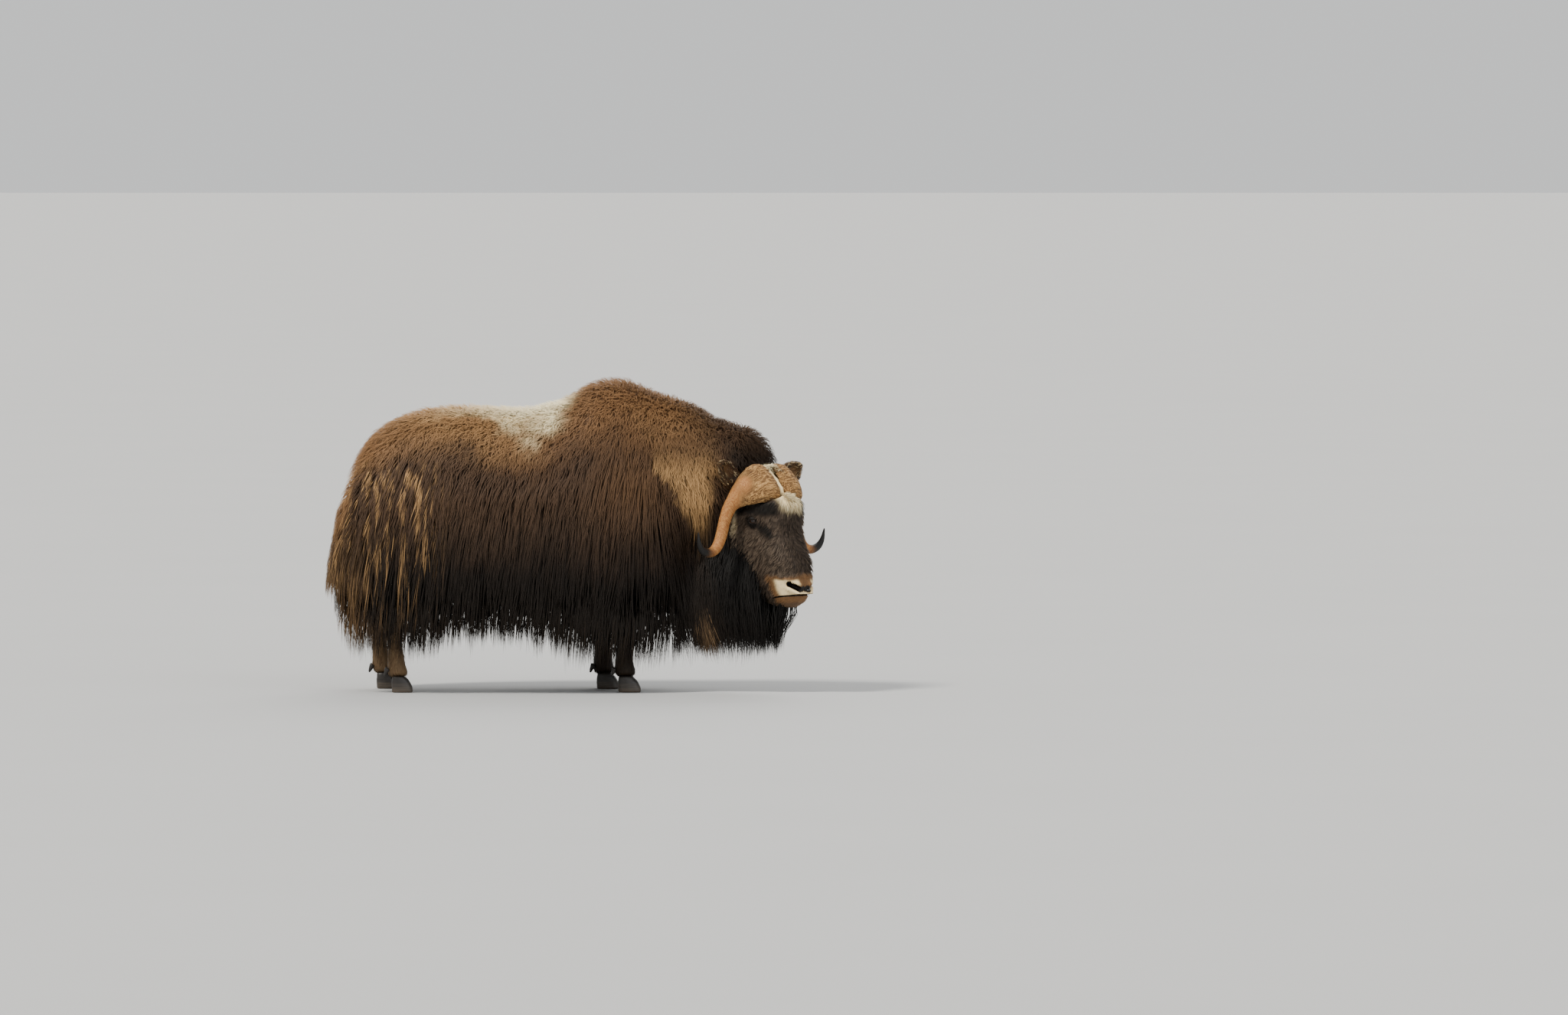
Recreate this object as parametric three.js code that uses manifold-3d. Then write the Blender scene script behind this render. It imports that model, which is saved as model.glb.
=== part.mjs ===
// A muskox bull, standing on level ground with its head turned to its right, as a life-size model.
// Millimetres. +X points to the head end, +Y to the animal's left and +Z up. The origin is on the ground,
// below the middle of the animal. Every solid reaches out to the tips of the coat that covers it.

import * as THREE from "three";
import { mergeVertices } from "three/addons/utils/BufferGeometryUtils.js";
import Module from "manifold-3d";

const wasm = await Module();
wasm.setup();

// Driving dimensions
const BODY_REAR = -1089; // rearmost hair, low on the rump
const BODY_FRONT = 530; // front of the chest, inside the neck
const WITHERS_HEIGHT = 1357; // top of the hump, coat included
const RUMP_HEIGHT = 1238;
const COAT_HALF_WIDTH = 392;
const SKIRT_TOP = 700; // level where the hanging skirt of hair is parted from the trunk
const SKIRT_THICKNESS = 70;
const BELLY_HEIGHT = 455;
const HEAD_TURN = THREE.MathUtils.degToRad(-47); // to the animal's right
const HEAD_PIVOT = new THREE.Vector3(749, -86, 0); // on the ground below the back of the skull
const CROWN_HEIGHT = 968; // top of the skull between the horns
const CHIN_HEIGHT = 366;
const EYE_HEIGHT = 742;
const EYE_RADIUS = 20;
const HORN_SPREAD = 370; // from the middle of the head to a horn tip
const HORN_TIP_HEIGHT = 696;
const FORE_FEET = { right: [215, -150], left: [118, 150] };
const HIND_FEET = { right: [-760, -165], left: [-838, 165] };
const GAP = 0.6; // clearance between neighbouring pieces

const COLOURS = {
  coat: [0x3a2a1c, 0.95],
  mane: [0x2a2119, 0.95],
  face: [0x2b241d, 0.9],
  muzzle: [0xb8a583, 0.85],
  stocking: [0x8d7655, 0.9],
  horn: [0xa97c4a, 0.55],
  hoof: [0x2a251f, 0.6],
  eye: [0x120d09, 0.1],
};

// Directions and helpers for smooth shapes

const FORWARD = new THREE.Vector3(1, 0, 0);
const ACROSS = new THREE.Vector3(0, 1, 0);
const UP = new THREE.Vector3(0, 0, 1);

/** A smooth function through a few [place, value] pairs. */
function profile(keys) {
  const last = keys.length - 1;
  const slope = (i) => {
    const [a, b] = [keys[Math.max(i - 1, 0)], keys[Math.min(i + 1, last)]];
    return (b[1] - a[1]) / (b[0] - a[0]);
  };
  return (at) => {
    const x = THREE.MathUtils.clamp(at, keys[0][0], keys[last][0]);
    const i = Math.min(Math.max(keys.findIndex((k) => k[0] >= x) - 1, 0), last - 1);
    const [[x0, y0], [x1, y1]] = [keys[i], keys[i + 1]];
    const h = x1 - x0;
    const t = (x - x0) / h;
    const [t2, t3] = [t * t, t * t * t];
    return (
      y0 * (2 * t3 - 3 * t2 + 1) +
      slope(i) * h * (t3 - 2 * t2 + t) +
      y1 * (3 * t2 - 2 * t3) +
      slope(i + 1) * h * (t3 - t2)
    );
  };
}

/**
 * Places from one end to the other, closer together near both ends, as [place, sample] pairs. A grown
 * copy has its end places moved out, and samples its profiles where the plain one does.
 */
function stations(from, to, count, grow) {
  return Array.from({ length: count + 1 }, (_, i) => {
    const share = (1 - Math.cos((Math.PI * i) / count)) / 2;
    const sample = from + (to - from) * share;
    const out = i === 0 ? -grow : i === count ? grow : 0;
    return [sample + out, sample];
  });
}

/** One ring of a rounded section: half-width along `across`, and its own reach up and down along `up`. */
function ring(centre, across, up, halfWidth, rise, drop, power, count) {
  return Array.from({ length: count }, (_, i) => {
    const angle = (2 * Math.PI * i) / count;
    const [c, s] = [Math.cos(angle), Math.sin(angle)];
    const wide = Math.sign(c) * Math.abs(c) ** (2 / power) * halfWidth;
    const high = Math.sign(s) * Math.abs(s) ** (2 / power) * (s > 0 ? rise : drop);
    return centre.clone().addScaledVector(across, wide).addScaledVector(up, high);
  });
}

/** A closed skin over a row of rings, with a fan over each end. */
function loft(rings) {
  const count = rings[0].length;
  const points = rings.flat();
  const index = [];
  for (let r = 0; r < rings.length - 1; r += 1) {
    for (let i = 0; i < count; i += 1) {
      const [a, b] = [r * count + i, r * count + ((i + 1) % count)];
      index.push(a, b, a + count, b, b + count, a + count);
    }
  }
  for (const end of [0, rings.length - 1]) {
    const hub = points.length;
    const middle = rings[end].reduce((sum, p) => sum.add(p), new THREE.Vector3());
    points.push(middle.divideScalar(count));
    for (let i = 0; i < count; i += 1) {
      const [a, b] = [end * count + i, end * count + ((i + 1) % count)];
      index.push(...(end === 0 ? [hub, b, a] : [hub, a, b]));
    }
  }
  return new THREE.BufferGeometry().setFromPoints(points).setIndex(index);
}

/** Rings along a curve, upright unless `upAt` gives another direction. */
function along(curve, steps, sizeAt, count, upAt) {
  const rings = [];
  for (let i = 0; i <= steps; i += 1) {
    const t = i / steps;
    const way = curve.getTangent(t);
    const up = (upAt ? upAt(t) : UP).clone();
    up.addScaledVector(way, -up.dot(way)).normalize();
    const across = new THREE.Vector3().crossVectors(up, way);
    const { half, rise, drop, power = 2 } = sizeAt(t);
    rings.push(ring(curve.getPoint(t), across, up, half, rise, drop, power, count));
  }
  return loft(rings);
}

/** A closed geometry as a solid for cutting and joining, turned the right way out. */
function solid(geometry, matrix = new THREE.Matrix4()) {
  const bare = new THREE.BufferGeometry();
  bare.setAttribute("position", geometry.getAttribute("position").clone());
  if (geometry.index) bare.setIndex(geometry.index.clone());
  bare.applyMatrix4(matrix);
  const merged = mergeVertices(bare, 1e-3);
  const make = (turned) => {
    const triVerts = new Uint32Array(merged.index.array);
    for (let i = 0; turned && i < triVerts.length; i += 3) {
      [triVerts[i + 1], triVerts[i + 2]] = [triVerts[i + 2], triVerts[i + 1]];
    }
    const vertProperties = new Float32Array(merged.attributes.position.array);
    return new wasm.Manifold(new wasm.Mesh({ numProp: 3, vertProperties, triVerts }));
  };
  const made = make(false);
  return made.volume() < 0 ? make(true) : made;
}

/** A solid back as a geometry; of several loose pieces, only the largest is kept. */
function geometryOf(made) {
  const whole = made.decompose().reduce((a, b) => (a.volume() > b.volume() ? a : b));
  const mesh = whole.getMesh();
  return new THREE.BufferGeometry()
    .setAttribute("position", new THREE.BufferAttribute(mesh.vertProperties, 3))
    .setIndex(new THREE.BufferAttribute(mesh.triVerts, 1));
}

/** A large block for cutting: everything within `size` of `centre`, turned by `tilt` about Y. */
function block(size, centre, tilt = 0) {
  const place = new THREE.Matrix4().makeRotationY(tilt).setPosition(...centre);
  return solid(new THREE.BoxGeometry(...size), place);
}

// Trunk and skirt: rounded sections from the rump to the chest, down to the hem of the coat

const backLine = profile([
  [BODY_REAR, 400], [-1075, 560], [-1043, 740], [-1007, 893], [-930, 1055], [-840, 1150], [-716, 1207],
  [-561, RUMP_HEIGHT], [-380, 1234], [-142, 1230], [-60, 1262], [30, 1332], [110, 1353],
  [201, WITHERS_HEIGHT], [327, 1310], [440, 1215], [BODY_FRONT, 1020],
]);
const hem = profile([
  [BODY_REAR, 360], [-1070, 260], [-1043, 199], [-960, 160], [-904, 136], [-716, 121], [-580, 138],
  [-483, 195], [-297, 181], [-142, 168], [13, 100], [120, 66], [264, 66], [340, 84], [420, 132],
  [480, 240], [515, 420], [BODY_FRONT, 640],
]);
const flank = profile([
  [BODY_REAR, 30], [-1075, 120], [-1043, 192], [-1000, 250], [-930, 305], [-780, 348], [-600, 375],
  [-300, COAT_HALF_WIDTH], [0, 384], [200, 348], [350, 300], [450, 236], [BODY_FRONT, 90],
]);
const widestAt = profile([
  [BODY_REAR, 380], [-1043, 460], [-1000, 530], [-930, 590], [-780, 630], [100, 640], [400, 720],
  [BODY_FRONT, 860],
]);

function coat(grow) {
  const rings = stations(BODY_REAR, BODY_FRONT, 17, grow).map(([place, x]) => {
    const middle = widestAt(x);
    const centre = new THREE.Vector3(place, 0, middle);
    const [rise, drop] = [backLine(x) - middle + grow, middle - hem(x) + grow];
    const upper = ring(centre, ACROSS, UP, flank(x) + grow, rise, drop, 2.25, 20);
    const lower = ring(centre, ACROSS, UP, flank(x) + grow, rise, drop, 7, 20);
    return upper.map((point, i) => (i <= 10 ? point : lower[i]));
  });
  return solid(loft(rings));
}

/** The room inside the skirt: the coat's sides less the skirt's thickness, from below the hem up. */
function insideSkirt(grow) {
  const rings = stations(BODY_REAR + SKIRT_THICKNESS, 400, 10, grow).map(([place, x]) => {
    const half = Math.max(flank(x) - SKIRT_THICKNESS, 24) + grow;
    return ring(new THREE.Vector3(place, 0, 400), ACROSS, UP, half, 600, 600, 8, 12);
  });
  return solid(loft(rings));
}

// Neck: from inside the chest to the hood of hair behind the horns, bending to the right

function neck(grow) {
  const curve = new THREE.CatmullRomCurve3([
    new THREE.Vector3(290, 0, 900),
    new THREE.Vector3(450, -6, 905),
    new THREE.Vector3(570, -18, 908),
    new THREE.Vector3(668, -30, 925),
    new THREE.Vector3(738, -52, 944),
    new THREE.Vector3(800, -92, 958),
  ]);
  const rise = profile([
    [0, 405], [0.2, 367], [0.4, 318], [0.6, 265], [0.8, 228], [0.92, 194], [1, 150],
  ]);
  const drop = profile([
    [0, 380], [0.2, 340], [0.4, 308], [0.6, 285], [0.8, 245], [0.92, 200], [1, 115],
  ]);
  const half = profile([
    [0, 275], [0.2, 244], [0.4, 213], [0.6, 194], [0.8, 184], [0.92, 172], [1, 136],
  ]);
  const sizeAt = (t) => ({
    half: half(t) + grow, rise: rise(t) + grow, drop: drop(t) + grow, power: 2.3,
  });
  return along(curve, 9, sizeAt, 16);
}

// Head: level slices from the crown to the chin, in the head's own frame (x forward, y left, z up)

const headMatrix = new THREE.Matrix4().makeRotationZ(HEAD_TURN).setPosition(HEAD_PIVOT);
const faceLine = profile([
  [CHIN_HEIGHT, 268], [385, 308], [420, 334], [450, 346], [495, 350], [560, 338], [615, 318],
  [660, 290], [713, 276], [EYE_HEIGHT, 278], [800, 290], [850, 246], [900, 208], [940, 168],
  [CROWN_HEIGHT, 128],
]);
const napeLine = profile([
  [CHIN_HEIGHT, 195], [400, 120], [450, 40], [500, -25], [560, -75], [640, -105], [EYE_HEIGHT, -112],
  [830, -92], [900, -50], [940, -8], [CROWN_HEIGHT, 35],
]);
const cheek = profile([
  [CHIN_HEIGHT, 26], [390, 58], [420, 74], [450, 85], [490, 95], [540, 106], [600, 117], [680, 124],
  [EYE_HEIGHT, 128], [800, 130], [850, 119], [900, 101], [940, 72], [CROWN_HEIGHT, 30],
]);
const MOUTH_CORNER = [199, 412]; // forward, up
const MOUTH_SLOPE = THREE.MathUtils.degToRad(-6); // the mouth rises towards the nose
const JAW_SLOPE = THREE.MathUtils.degToRad(24); // the jaw's upper edge rises towards the neck
const MUZZLE_TOP = 494;
const MUZZLE_BACK = 205;

function wholeHead(grow) {
  const rings = stations(CHIN_HEIGHT, CROWN_HEIGHT, 15, grow).map(([place, z]) => {
    const middle = (faceLine(z) + napeLine(z)) / 2;
    const reach = (faceLine(z) - napeLine(z)) / 2 + grow;
    return ring(
      new THREE.Vector3(middle, 0, place), ACROSS, FORWARD,
      cheek(z) + grow, reach, reach, z < 580 ? 3 : 2.5, 18,
    );
  });
  return loft(rings);
}

/** The skull with the bony rims round the eyes. */
function skullWithOrbits(grow) {
  let made = solid(wholeHead(grow));
  for (const side of [-1, 1]) {
    const rim = new THREE.SphereGeometry(1, 12, 8)
      .scale(46 + grow, 36 + grow, 44 + grow)
      .translate(128, side * 93, EYE_HEIGHT + 6);
    made = made.add(solid(rim));
  }
  return made;
}

function eye(side, grow) {
  const radius = EYE_RADIUS + grow;
  return solid(new THREE.SphereGeometry(radius, 12, 8).translate(144, side * 114, EYE_HEIGHT));
}

const EAR_ROOT = [40, 96, 890];

/** A cupped leaf from its root at the side of the skull out to its tip. */
function ear(side, tip, grow) {
  const curve = new THREE.QuadraticBezierCurve3(
    new THREE.Vector3(EAR_ROOT[0], side * EAR_ROOT[1], EAR_ROOT[2]),
    new THREE.Vector3(50, side * 160, 916),
    new THREE.Vector3(tip[0], side * tip[1], tip[2]),
  );
  const half = profile([[0, 26], [0.3, 44], [0.65, 50], [0.9, 30], [1, 8]]);
  const thick = profile([[0, 22], [0.4, 20], [0.8, 14], [1, 5]]);
  const sizeAt = (t) => ({ half: thick(t) + grow, rise: half(t) + grow, drop: half(t) + grow });
  return along(curve, 7, sizeAt, 10);
}

/** The hollow of the ear, which faces forward and outward. */
function earHollow(side, tip) {
  const size = new THREE.Vector3(20, 52, 36);
  const middle = new THREE.Vector3(tip[0] + 4, side * (tip[1] - 58), tip[2] - 38);
  const lean = side * Math.atan2(tip[2] - EAR_ROOT[2], tip[1] - EAR_ROOT[1]);
  return new THREE.SphereGeometry(1, 10, 7)
    .scale(size.x, size.y, size.z)
    .rotateX(lean)
    .translate(middle.x, middle.y, middle.z);
}

/** The boss: a rough shield that slopes forward across half of the brow. */
function boss(side, grow) {
  const keys = [0, 30, 70, 110, 140, 165];
  const middleX = profile(keys.map((y, i) => [y, [138, 146, 146, 136, 120, 104][i]]));
  const middleZ = profile(keys.map((y, i) => [y, [884, 900, 904, 892, 868, 842][i]]));
  const broad = profile(keys.map((y, i) => [y, [76, 92, 95, 86, 66, 30][i]]));
  const deep = profile(keys.map((y, i) => [y, [34, 46, 50, 47, 38, 20][i]]));
  const rings = stations(2, 165, 7, grow).map(([place, y]) =>
    ring(
      new THREE.Vector3(middleX(y), side * place, middleZ(y)),
      new THREE.Vector3(0.71, 0, 0.7), new THREE.Vector3(0.7, 0, -0.71),
      deep(y) + grow, broad(y) + grow, broad(y) + grow, 2.5, 12,
    ),
  );
  return loft(rings);
}

/** The horn below the boss: down past the cheek, then out and up to the tip. */
function shaft(side, grow) {
  const path = [
    [112, 128, 884], [90, 164, 838], [72, 189, 796], [62, 207, 741], [58, 220, 688], [57, 238, 644],
    [59, 266, 615], [61, 302, 606], [64, 338, 618], [68, 360, 648], [72, HORN_SPREAD, HORN_TIP_HEIGHT],
  ];
  const curve = new THREE.CatmullRomCurve3(
    path.map(([forward, out, up]) => new THREE.Vector3(forward, side * out, up)),
  );
  const thick = profile([
    [0, 47], [0.1, 37], [0.2, 28], [0.3, 25.5], [0.4, 25], [0.5, 24], [0.6, 22], [0.7, 20], [0.8, 16.5],
    [0.9, 10.5], [1, 2.5],
  ]);
  const sizeAt = (t) => ({ half: thick(t) + grow, rise: thick(t) + grow, drop: thick(t) + grow });
  return along(curve, 16, sizeAt, 8, () => FORWARD);
}

function horn(side, grow) {
  return solid(boss(side, grow)).add(solid(shaft(side, grow)));
}

// Legs and feet

const LEGS = {
  foreleg: {
    levels: [62, 92, 130, 210, 300, 400, 500, 600],
    shift: [0, -6, -8, -6, 4, 0, -4, -8],
    deep: [50, 54, 45, 45, 58, 72, 92, 110],
    half: [50, 50, 42, 42, 50, 58, 66, 72],
    claw: { long: 56, half: 23, ahead: 12 },
  },
  hindleg: {
    levels: [62, 92, 130, 220, 330, 430, 530, 640],
    shift: [0, -8, -12, -18, -28, 6, 40, 70],
    deep: [48, 52, 43, 46, 62, 84, 118, 140],
    half: [47, 47, 40, 41, 48, 60, 74, 84],
    claw: { long: 51, half: 21, ahead: 12 },
  },
};
const HOOF_HEIGHT = 70;

function leg(kind, foot, grow) {
  const { levels, shift, deep, half } = LEGS[kind];
  const rings = levels.map((z, i) => {
    const end = i === 0 ? -grow : i === levels.length - 1 ? grow : 0;
    return ring(
      new THREE.Vector3(foot[0] + shift[i], foot[1], z + end),
      ACROSS, FORWARD,
      half[i] + grow, deep[i] + grow, deep[i] + grow, 2.1, 10,
    );
  });
  return loft(rings);
}

/** One claw of a cloven hoof, flat on the ground; `half` is -1 or 1 across the foot. */
function claw(kind, foot, half, grow) {
  const { long, half: wide, ahead } = LEGS[kind].claw;
  const shrink = [[0, 1, 0], [22, 0.98, -2], [48, 0.84, -8], [HOOF_HEIGHT, 0.6, -16]];
  const rings = shrink.map(([z, share, back], i) =>
    ring(
      new THREE.Vector3(foot[0] + ahead + back, foot[1] + half * (wide + 2.5), i ? z : -grow),
      ACROSS, FORWARD,
      wide * (0.5 + share / 2) + grow, long * share + grow, long * share * 0.85 + grow, 2.4, 10,
    ),
  );
  return loft(rings);
}

/** The small false hoof behind the pastern. */
function dewclaw(foot, half, grow) {
  const place = new THREE.Matrix4().makeRotationY(THREE.MathUtils.degToRad(28));
  place.setPosition(foot[0] - 56, foot[1] + half * 24, 88);
  return new THREE.CylinderGeometry(6 + grow, 15 + grow, 34 + 2 * grow, 6)
    .rotateX(-Math.PI / 2)
    .applyMatrix4(place);
}

// The mane below the throat and jaw, and the short tail

function throatMane(grow) {
  const curve = new THREE.CatmullRomCurve3([
    new THREE.Vector3(330, 0, 400),
    new THREE.Vector3(480, -14, 372),
    new THREE.Vector3(620, -60, 362),
    new THREE.Vector3(740, -140, 362),
    new THREE.Vector3(838, -222, 345),
    new THREE.Vector3(900, -282, 345),
  ]);
  const low = profile([[0, 190], [0.25, 124], [0.5, 118], [0.75, 160], [0.92, 215], [1, 262]]);
  const high = profile([[0, 560], [0.25, 640], [0.5, 640], [0.75, 560], [0.92, 440], [1, 390]]);
  const half = profile([[0, 150], [0.25, 172], [0.5, 145], [0.75, 108], [0.92, 66], [1, 30]]);
  const sizeAt = (t) => {
    const middle = curve.getPoint(t).z;
    return {
      half: half(t) + grow, rise: high(t) - middle + grow, drop: middle - low(t) + grow, power: 2.4,
    };
  };
  return along(curve, 9, sizeAt, 14);
}

function tail(grow) {
  const curve = new THREE.QuadraticBezierCurve3(
    new THREE.Vector3(-915, 0, 968),
    new THREE.Vector3(-982, 0, 950),
    new THREE.Vector3(-1008, 0, 800),
  );
  const half = profile([[0, 30], [0.5, 34], [0.85, 27], [1, 9]]);
  const sizeAt = (t) => ({ half: half(t) + grow, rise: half(t) + grow, drop: half(t) + grow });
  return along(curve, 5, sizeAt, 8, () => new THREE.Vector3(-1, 0, 0.2));
}

// Assembly: each piece gives way to the ones made before it

const muskox = new THREE.Group();
const headGroup = new THREE.Group();
headGroup.position.copy(HEAD_PIVOT);
headGroup.rotation.z = HEAD_TURN;
muskox.add(headGroup);

function add(group, name, made, look) {
  const [color, roughness] = COLOURS[look];
  const material = new THREE.MeshStandardMaterial({ color, roughness, metalness: 0 });
  const mesh = new THREE.Mesh(geometryOf(made), material);
  mesh.name = name;
  group.add(mesh);
}

const SIDES = { right: -1, left: 1 };
const EAR_TIPS = { right: [64, 240, 992], left: [60, 240, 972] };
const cut = (made, cutters) => cutters.reduce((rest, cutter) => rest.subtract(cutter), made);

// Head, in its own frame
const onHead = []; // grown copies, in the head's frame
const headCutters = []; // the same, in the body's frame
function keepRoom(made) {
  onHead.push(made);
  headCutters.push(made.transform(headMatrix.elements));
}
for (const [name, side] of Object.entries(SIDES)) {
  const ownHalf = block([900, 600, 1200], [0, side * (300 + GAP), 700]);
  add(headGroup, `horn_${name}`, horn(side, 0).intersect(ownHalf), "horn");
  add(headGroup, `eye_${name}`, eye(side, 0), "eye");
  keepRoom(horn(side, GAP));
  keepRoom(eye(side, GAP));
}
const skull = cut(skullWithOrbits(0), onHead);
for (const [name, side] of Object.entries(SIDES)) {
  const tip = EAR_TIPS[name];
  const cup = solid(ear(side, tip, 0)).subtract(solid(earHollow(side, tip)));
  const seat = skullWithOrbits(GAP);
  add(headGroup, `ear_${name}`, cut(cup, [...onHead, seat]), "face");
  headCutters.push(solid(ear(side, tip, GAP), headMatrix));
}
headCutters.push(skullWithOrbits(GAP).transform(headMatrix.elements));


/** All of the head below the mouth and the jaw's upper edge, lowered by `gap`. */
function belowMouth(gap) {
  const [x, z] = MOUTH_CORNER;
  const front = new THREE.BoxGeometry(600, 600, 400).translate(100, 0, -200);
  const back = new THREE.BoxGeometry(500, 600, 400).translate(-250, 0, -200);
  const place = (tilt) => new THREE.Matrix4().makeRotationY(tilt).setPosition(x, 0, z - gap);
  return solid(front, place(MOUTH_SLOPE)).add(solid(back, place(JAW_SLOPE)));
}

/** The front of the face below the level of the nose's bare skin, `gap` larger than the muzzle. */
function muzzleRoom(gap) {
  const high = MUZZLE_TOP + gap - 200;
  return block([500 + gap, 600, high], [MUZZLE_BACK + 250 - gap / 2, 0, 200 + high / 2]);
}

const upperHead = skull.subtract(belowMouth(0));
add(headGroup, "lower_jaw", skull.intersect(belowMouth(GAP)), "mane");
add(headGroup, "muzzle", upperHead.intersect(muzzleRoom(0)), "muzzle");
add(headGroup, "head", upperHead.subtract(muzzleRoom(GAP)), "face");

// Feet and legs, which end below the belly
const feet = [
  ...Object.entries(FORE_FEET).map(([name, foot]) => ["foreleg", name, foot]),
  ...Object.entries(HIND_FEET).map(([name, foot]) => ["hindleg", name, foot]),
];
/** Everything in the lower or the upper of the two rooms that a level parts. */
const below = (level) => block([4000, 2000, 2000], [0, 0, level - 1000]);
const above = (level) => block([4000, 2000, 2000], [0, 0, level + 1000]);

for (const [kind, name, foot] of feet) {
  const taken = [above(BELLY_HEIGHT - GAP)];
  for (const [which, half] of [["inner", -SIDES[name]], ["outer", SIDES[name]]]) {
    add(muskox, `hoof_${kind}_${name}_${which}`, solid(claw(kind, foot, half, 0)), "hoof");
    add(muskox, `dewclaw_${kind}_${name}_${which}`, solid(dewclaw(foot, half, 0)), "hoof");
    taken.push(solid(claw(kind, foot, half, GAP)), solid(dewclaw(foot, half, GAP)));
  }
  add(muskox, `${kind}_${name}`, cut(solid(leg(kind, foot, 0)), taken), "stocking");
}

// Tail, then the coat parted into trunk and skirt, and both again along the animal
add(muskox, "tail", solid(tail(0)), "coat");
const whole = cut(coat(0), [...headCutters, solid(tail(GAP))]);
const skirtZone = below(SKIRT_TOP).subtract(insideSkirt(0));
const trunk = whole.subtract(skirtZone).subtract(below(BELLY_HEIGHT));
const trunkParts = [["rump", -1200, -480], ["barrel", -480, -40], ["withers", -40, 700]];
for (const [name, from, to] of trunkParts) {
  const slab = block([to - from - GAP, 1200, 1600], [(from + to) / 2, 0, 800]);
  add(muskox, name, trunk.intersect(slab), "coat");
}
const skirt = whole.intersect(below(SKIRT_TOP - GAP).subtract(insideSkirt(GAP)));
const skirtParts = [["rear", -1200, -620], ["middle", -620, -40], ["fore", -40, 700]];
for (const [name, side] of Object.entries(SIDES)) {
  for (const [part, from, to] of skirtParts) {
    const slab = block([to - from - GAP, 600 - GAP, 1600], [(from + to) / 2, side * 300, 800]);
    add(muskox, `skirt_${part}_${name}`, skirt.intersect(slab), "coat");
  }
}

// Neck and mane give way to the head and the trunk
const bodyRoom = [...headCutters, coat(GAP)];
add(muskox, "neck", cut(solid(neck(0)), bodyRoom), "coat");
add(muskox, "throat_mane", cut(solid(throatMane(0)), [...bodyRoom, solid(neck(GAP))]), "mane");

// The origin goes to the ground below the middle of the whole animal
const middle = new THREE.Box3().setFromObject(muskox, true).getCenter(new THREE.Vector3());
muskox.position.set(-middle.x, -middle.y, 0);

export default muskox;
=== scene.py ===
"""A muskox bull with its summer coat growing in: skin, hair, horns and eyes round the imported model.

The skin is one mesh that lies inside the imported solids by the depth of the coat. The coat is made of
closed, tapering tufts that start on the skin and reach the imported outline. Metres, +X to the head end,
+Y to the animal's left, +Z up.
"""

import logging
import math
from collections.abc import Callable
from dataclasses import dataclass, field
from enum import Enum

import bmesh
import bpy
import numpy as np
from bpy.types import ID, Material, Mesh, Node, NodeSocket, NodeTree, Object
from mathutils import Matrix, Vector
from mathutils.bvhtree import BVHTree
from mathutils.kdtree import KDTree


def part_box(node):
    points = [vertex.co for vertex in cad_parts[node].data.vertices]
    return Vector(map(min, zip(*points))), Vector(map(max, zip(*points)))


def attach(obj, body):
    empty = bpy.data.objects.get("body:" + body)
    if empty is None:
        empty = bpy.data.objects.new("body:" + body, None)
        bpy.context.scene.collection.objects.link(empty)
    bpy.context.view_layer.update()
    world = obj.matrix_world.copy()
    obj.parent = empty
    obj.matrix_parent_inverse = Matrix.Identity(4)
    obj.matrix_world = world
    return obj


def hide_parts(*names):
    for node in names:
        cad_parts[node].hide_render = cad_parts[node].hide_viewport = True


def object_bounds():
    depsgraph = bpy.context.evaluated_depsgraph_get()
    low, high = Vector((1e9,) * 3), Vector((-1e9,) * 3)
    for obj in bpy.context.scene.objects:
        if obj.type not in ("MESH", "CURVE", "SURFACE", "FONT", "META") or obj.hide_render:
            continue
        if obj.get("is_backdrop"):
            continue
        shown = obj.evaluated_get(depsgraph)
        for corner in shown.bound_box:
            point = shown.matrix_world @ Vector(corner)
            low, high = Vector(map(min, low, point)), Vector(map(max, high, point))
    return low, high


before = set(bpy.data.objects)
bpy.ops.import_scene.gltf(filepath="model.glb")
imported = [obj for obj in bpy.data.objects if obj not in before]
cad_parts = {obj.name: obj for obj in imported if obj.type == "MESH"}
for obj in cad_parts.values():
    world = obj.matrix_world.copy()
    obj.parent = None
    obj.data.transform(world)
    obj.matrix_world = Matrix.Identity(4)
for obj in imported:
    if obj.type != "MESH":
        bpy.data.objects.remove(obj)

log = logging.getLogger("muskox")
Array = np.ndarray

SEED = 41
TRUNK_NODES = [
    "rump", "barrel", "withers", "neck", "throat_mane", "skirt_rear_right", "skirt_rear_left",
    "skirt_middle_right", "skirt_middle_left", "skirt_fore_right", "skirt_fore_left",
]
HEAD_NODES = ["head", "muzzle", "lower_jaw"]
EAR_NODES = ["ear_right", "ear_left"]
LEG_NODES = ["foreleg_right", "foreleg_left", "hindleg_right", "hindleg_left"]
TAIL_NODES = ["tail"]
SIDES = {"right": -1.0, "left": 1.0}
FILL_ROUNDS = 12  # filling one corner can open another, so it is done again at most this often


# Measuring: fields of distance, and noise


def ease(value: Array, low: float, high: float) -> Array:
    """A smooth step from 0 at low to 1 at high, either way round."""
    share = np.clip((value - low) / (high - low), 0.0, 1.0)
    return share * share * (3.0 - 2.0 * share)


def bump(value: Array, middle: float, reach: float) -> Array:
    """1 at the middle, falling smoothly to 0 at a distance of reach."""
    return ease(np.abs(value - middle), reach, 0.0)


def blend_least(first: Array, second: Array, reach: float) -> Array:
    """The lesser of two distances, rounded where they meet."""
    share = np.clip(0.5 + 0.5 * (second - first) / reach, 0.0, 1.0)
    return second * (1.0 - share) + first * share - reach * share * (1.0 - share)


def carve(solid: Array, tool: Array, reach: float) -> Array:
    """The distance from a solid with a second one cut out of it, rounded along the cut."""
    return -blend_least(-solid, tool, reach)


def unit(vectors: Array) -> Array:
    """The same directions, each one metre long."""
    return vectors / np.maximum(np.linalg.norm(vectors, axis=-1, keepdims=True), 1e-9)


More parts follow.
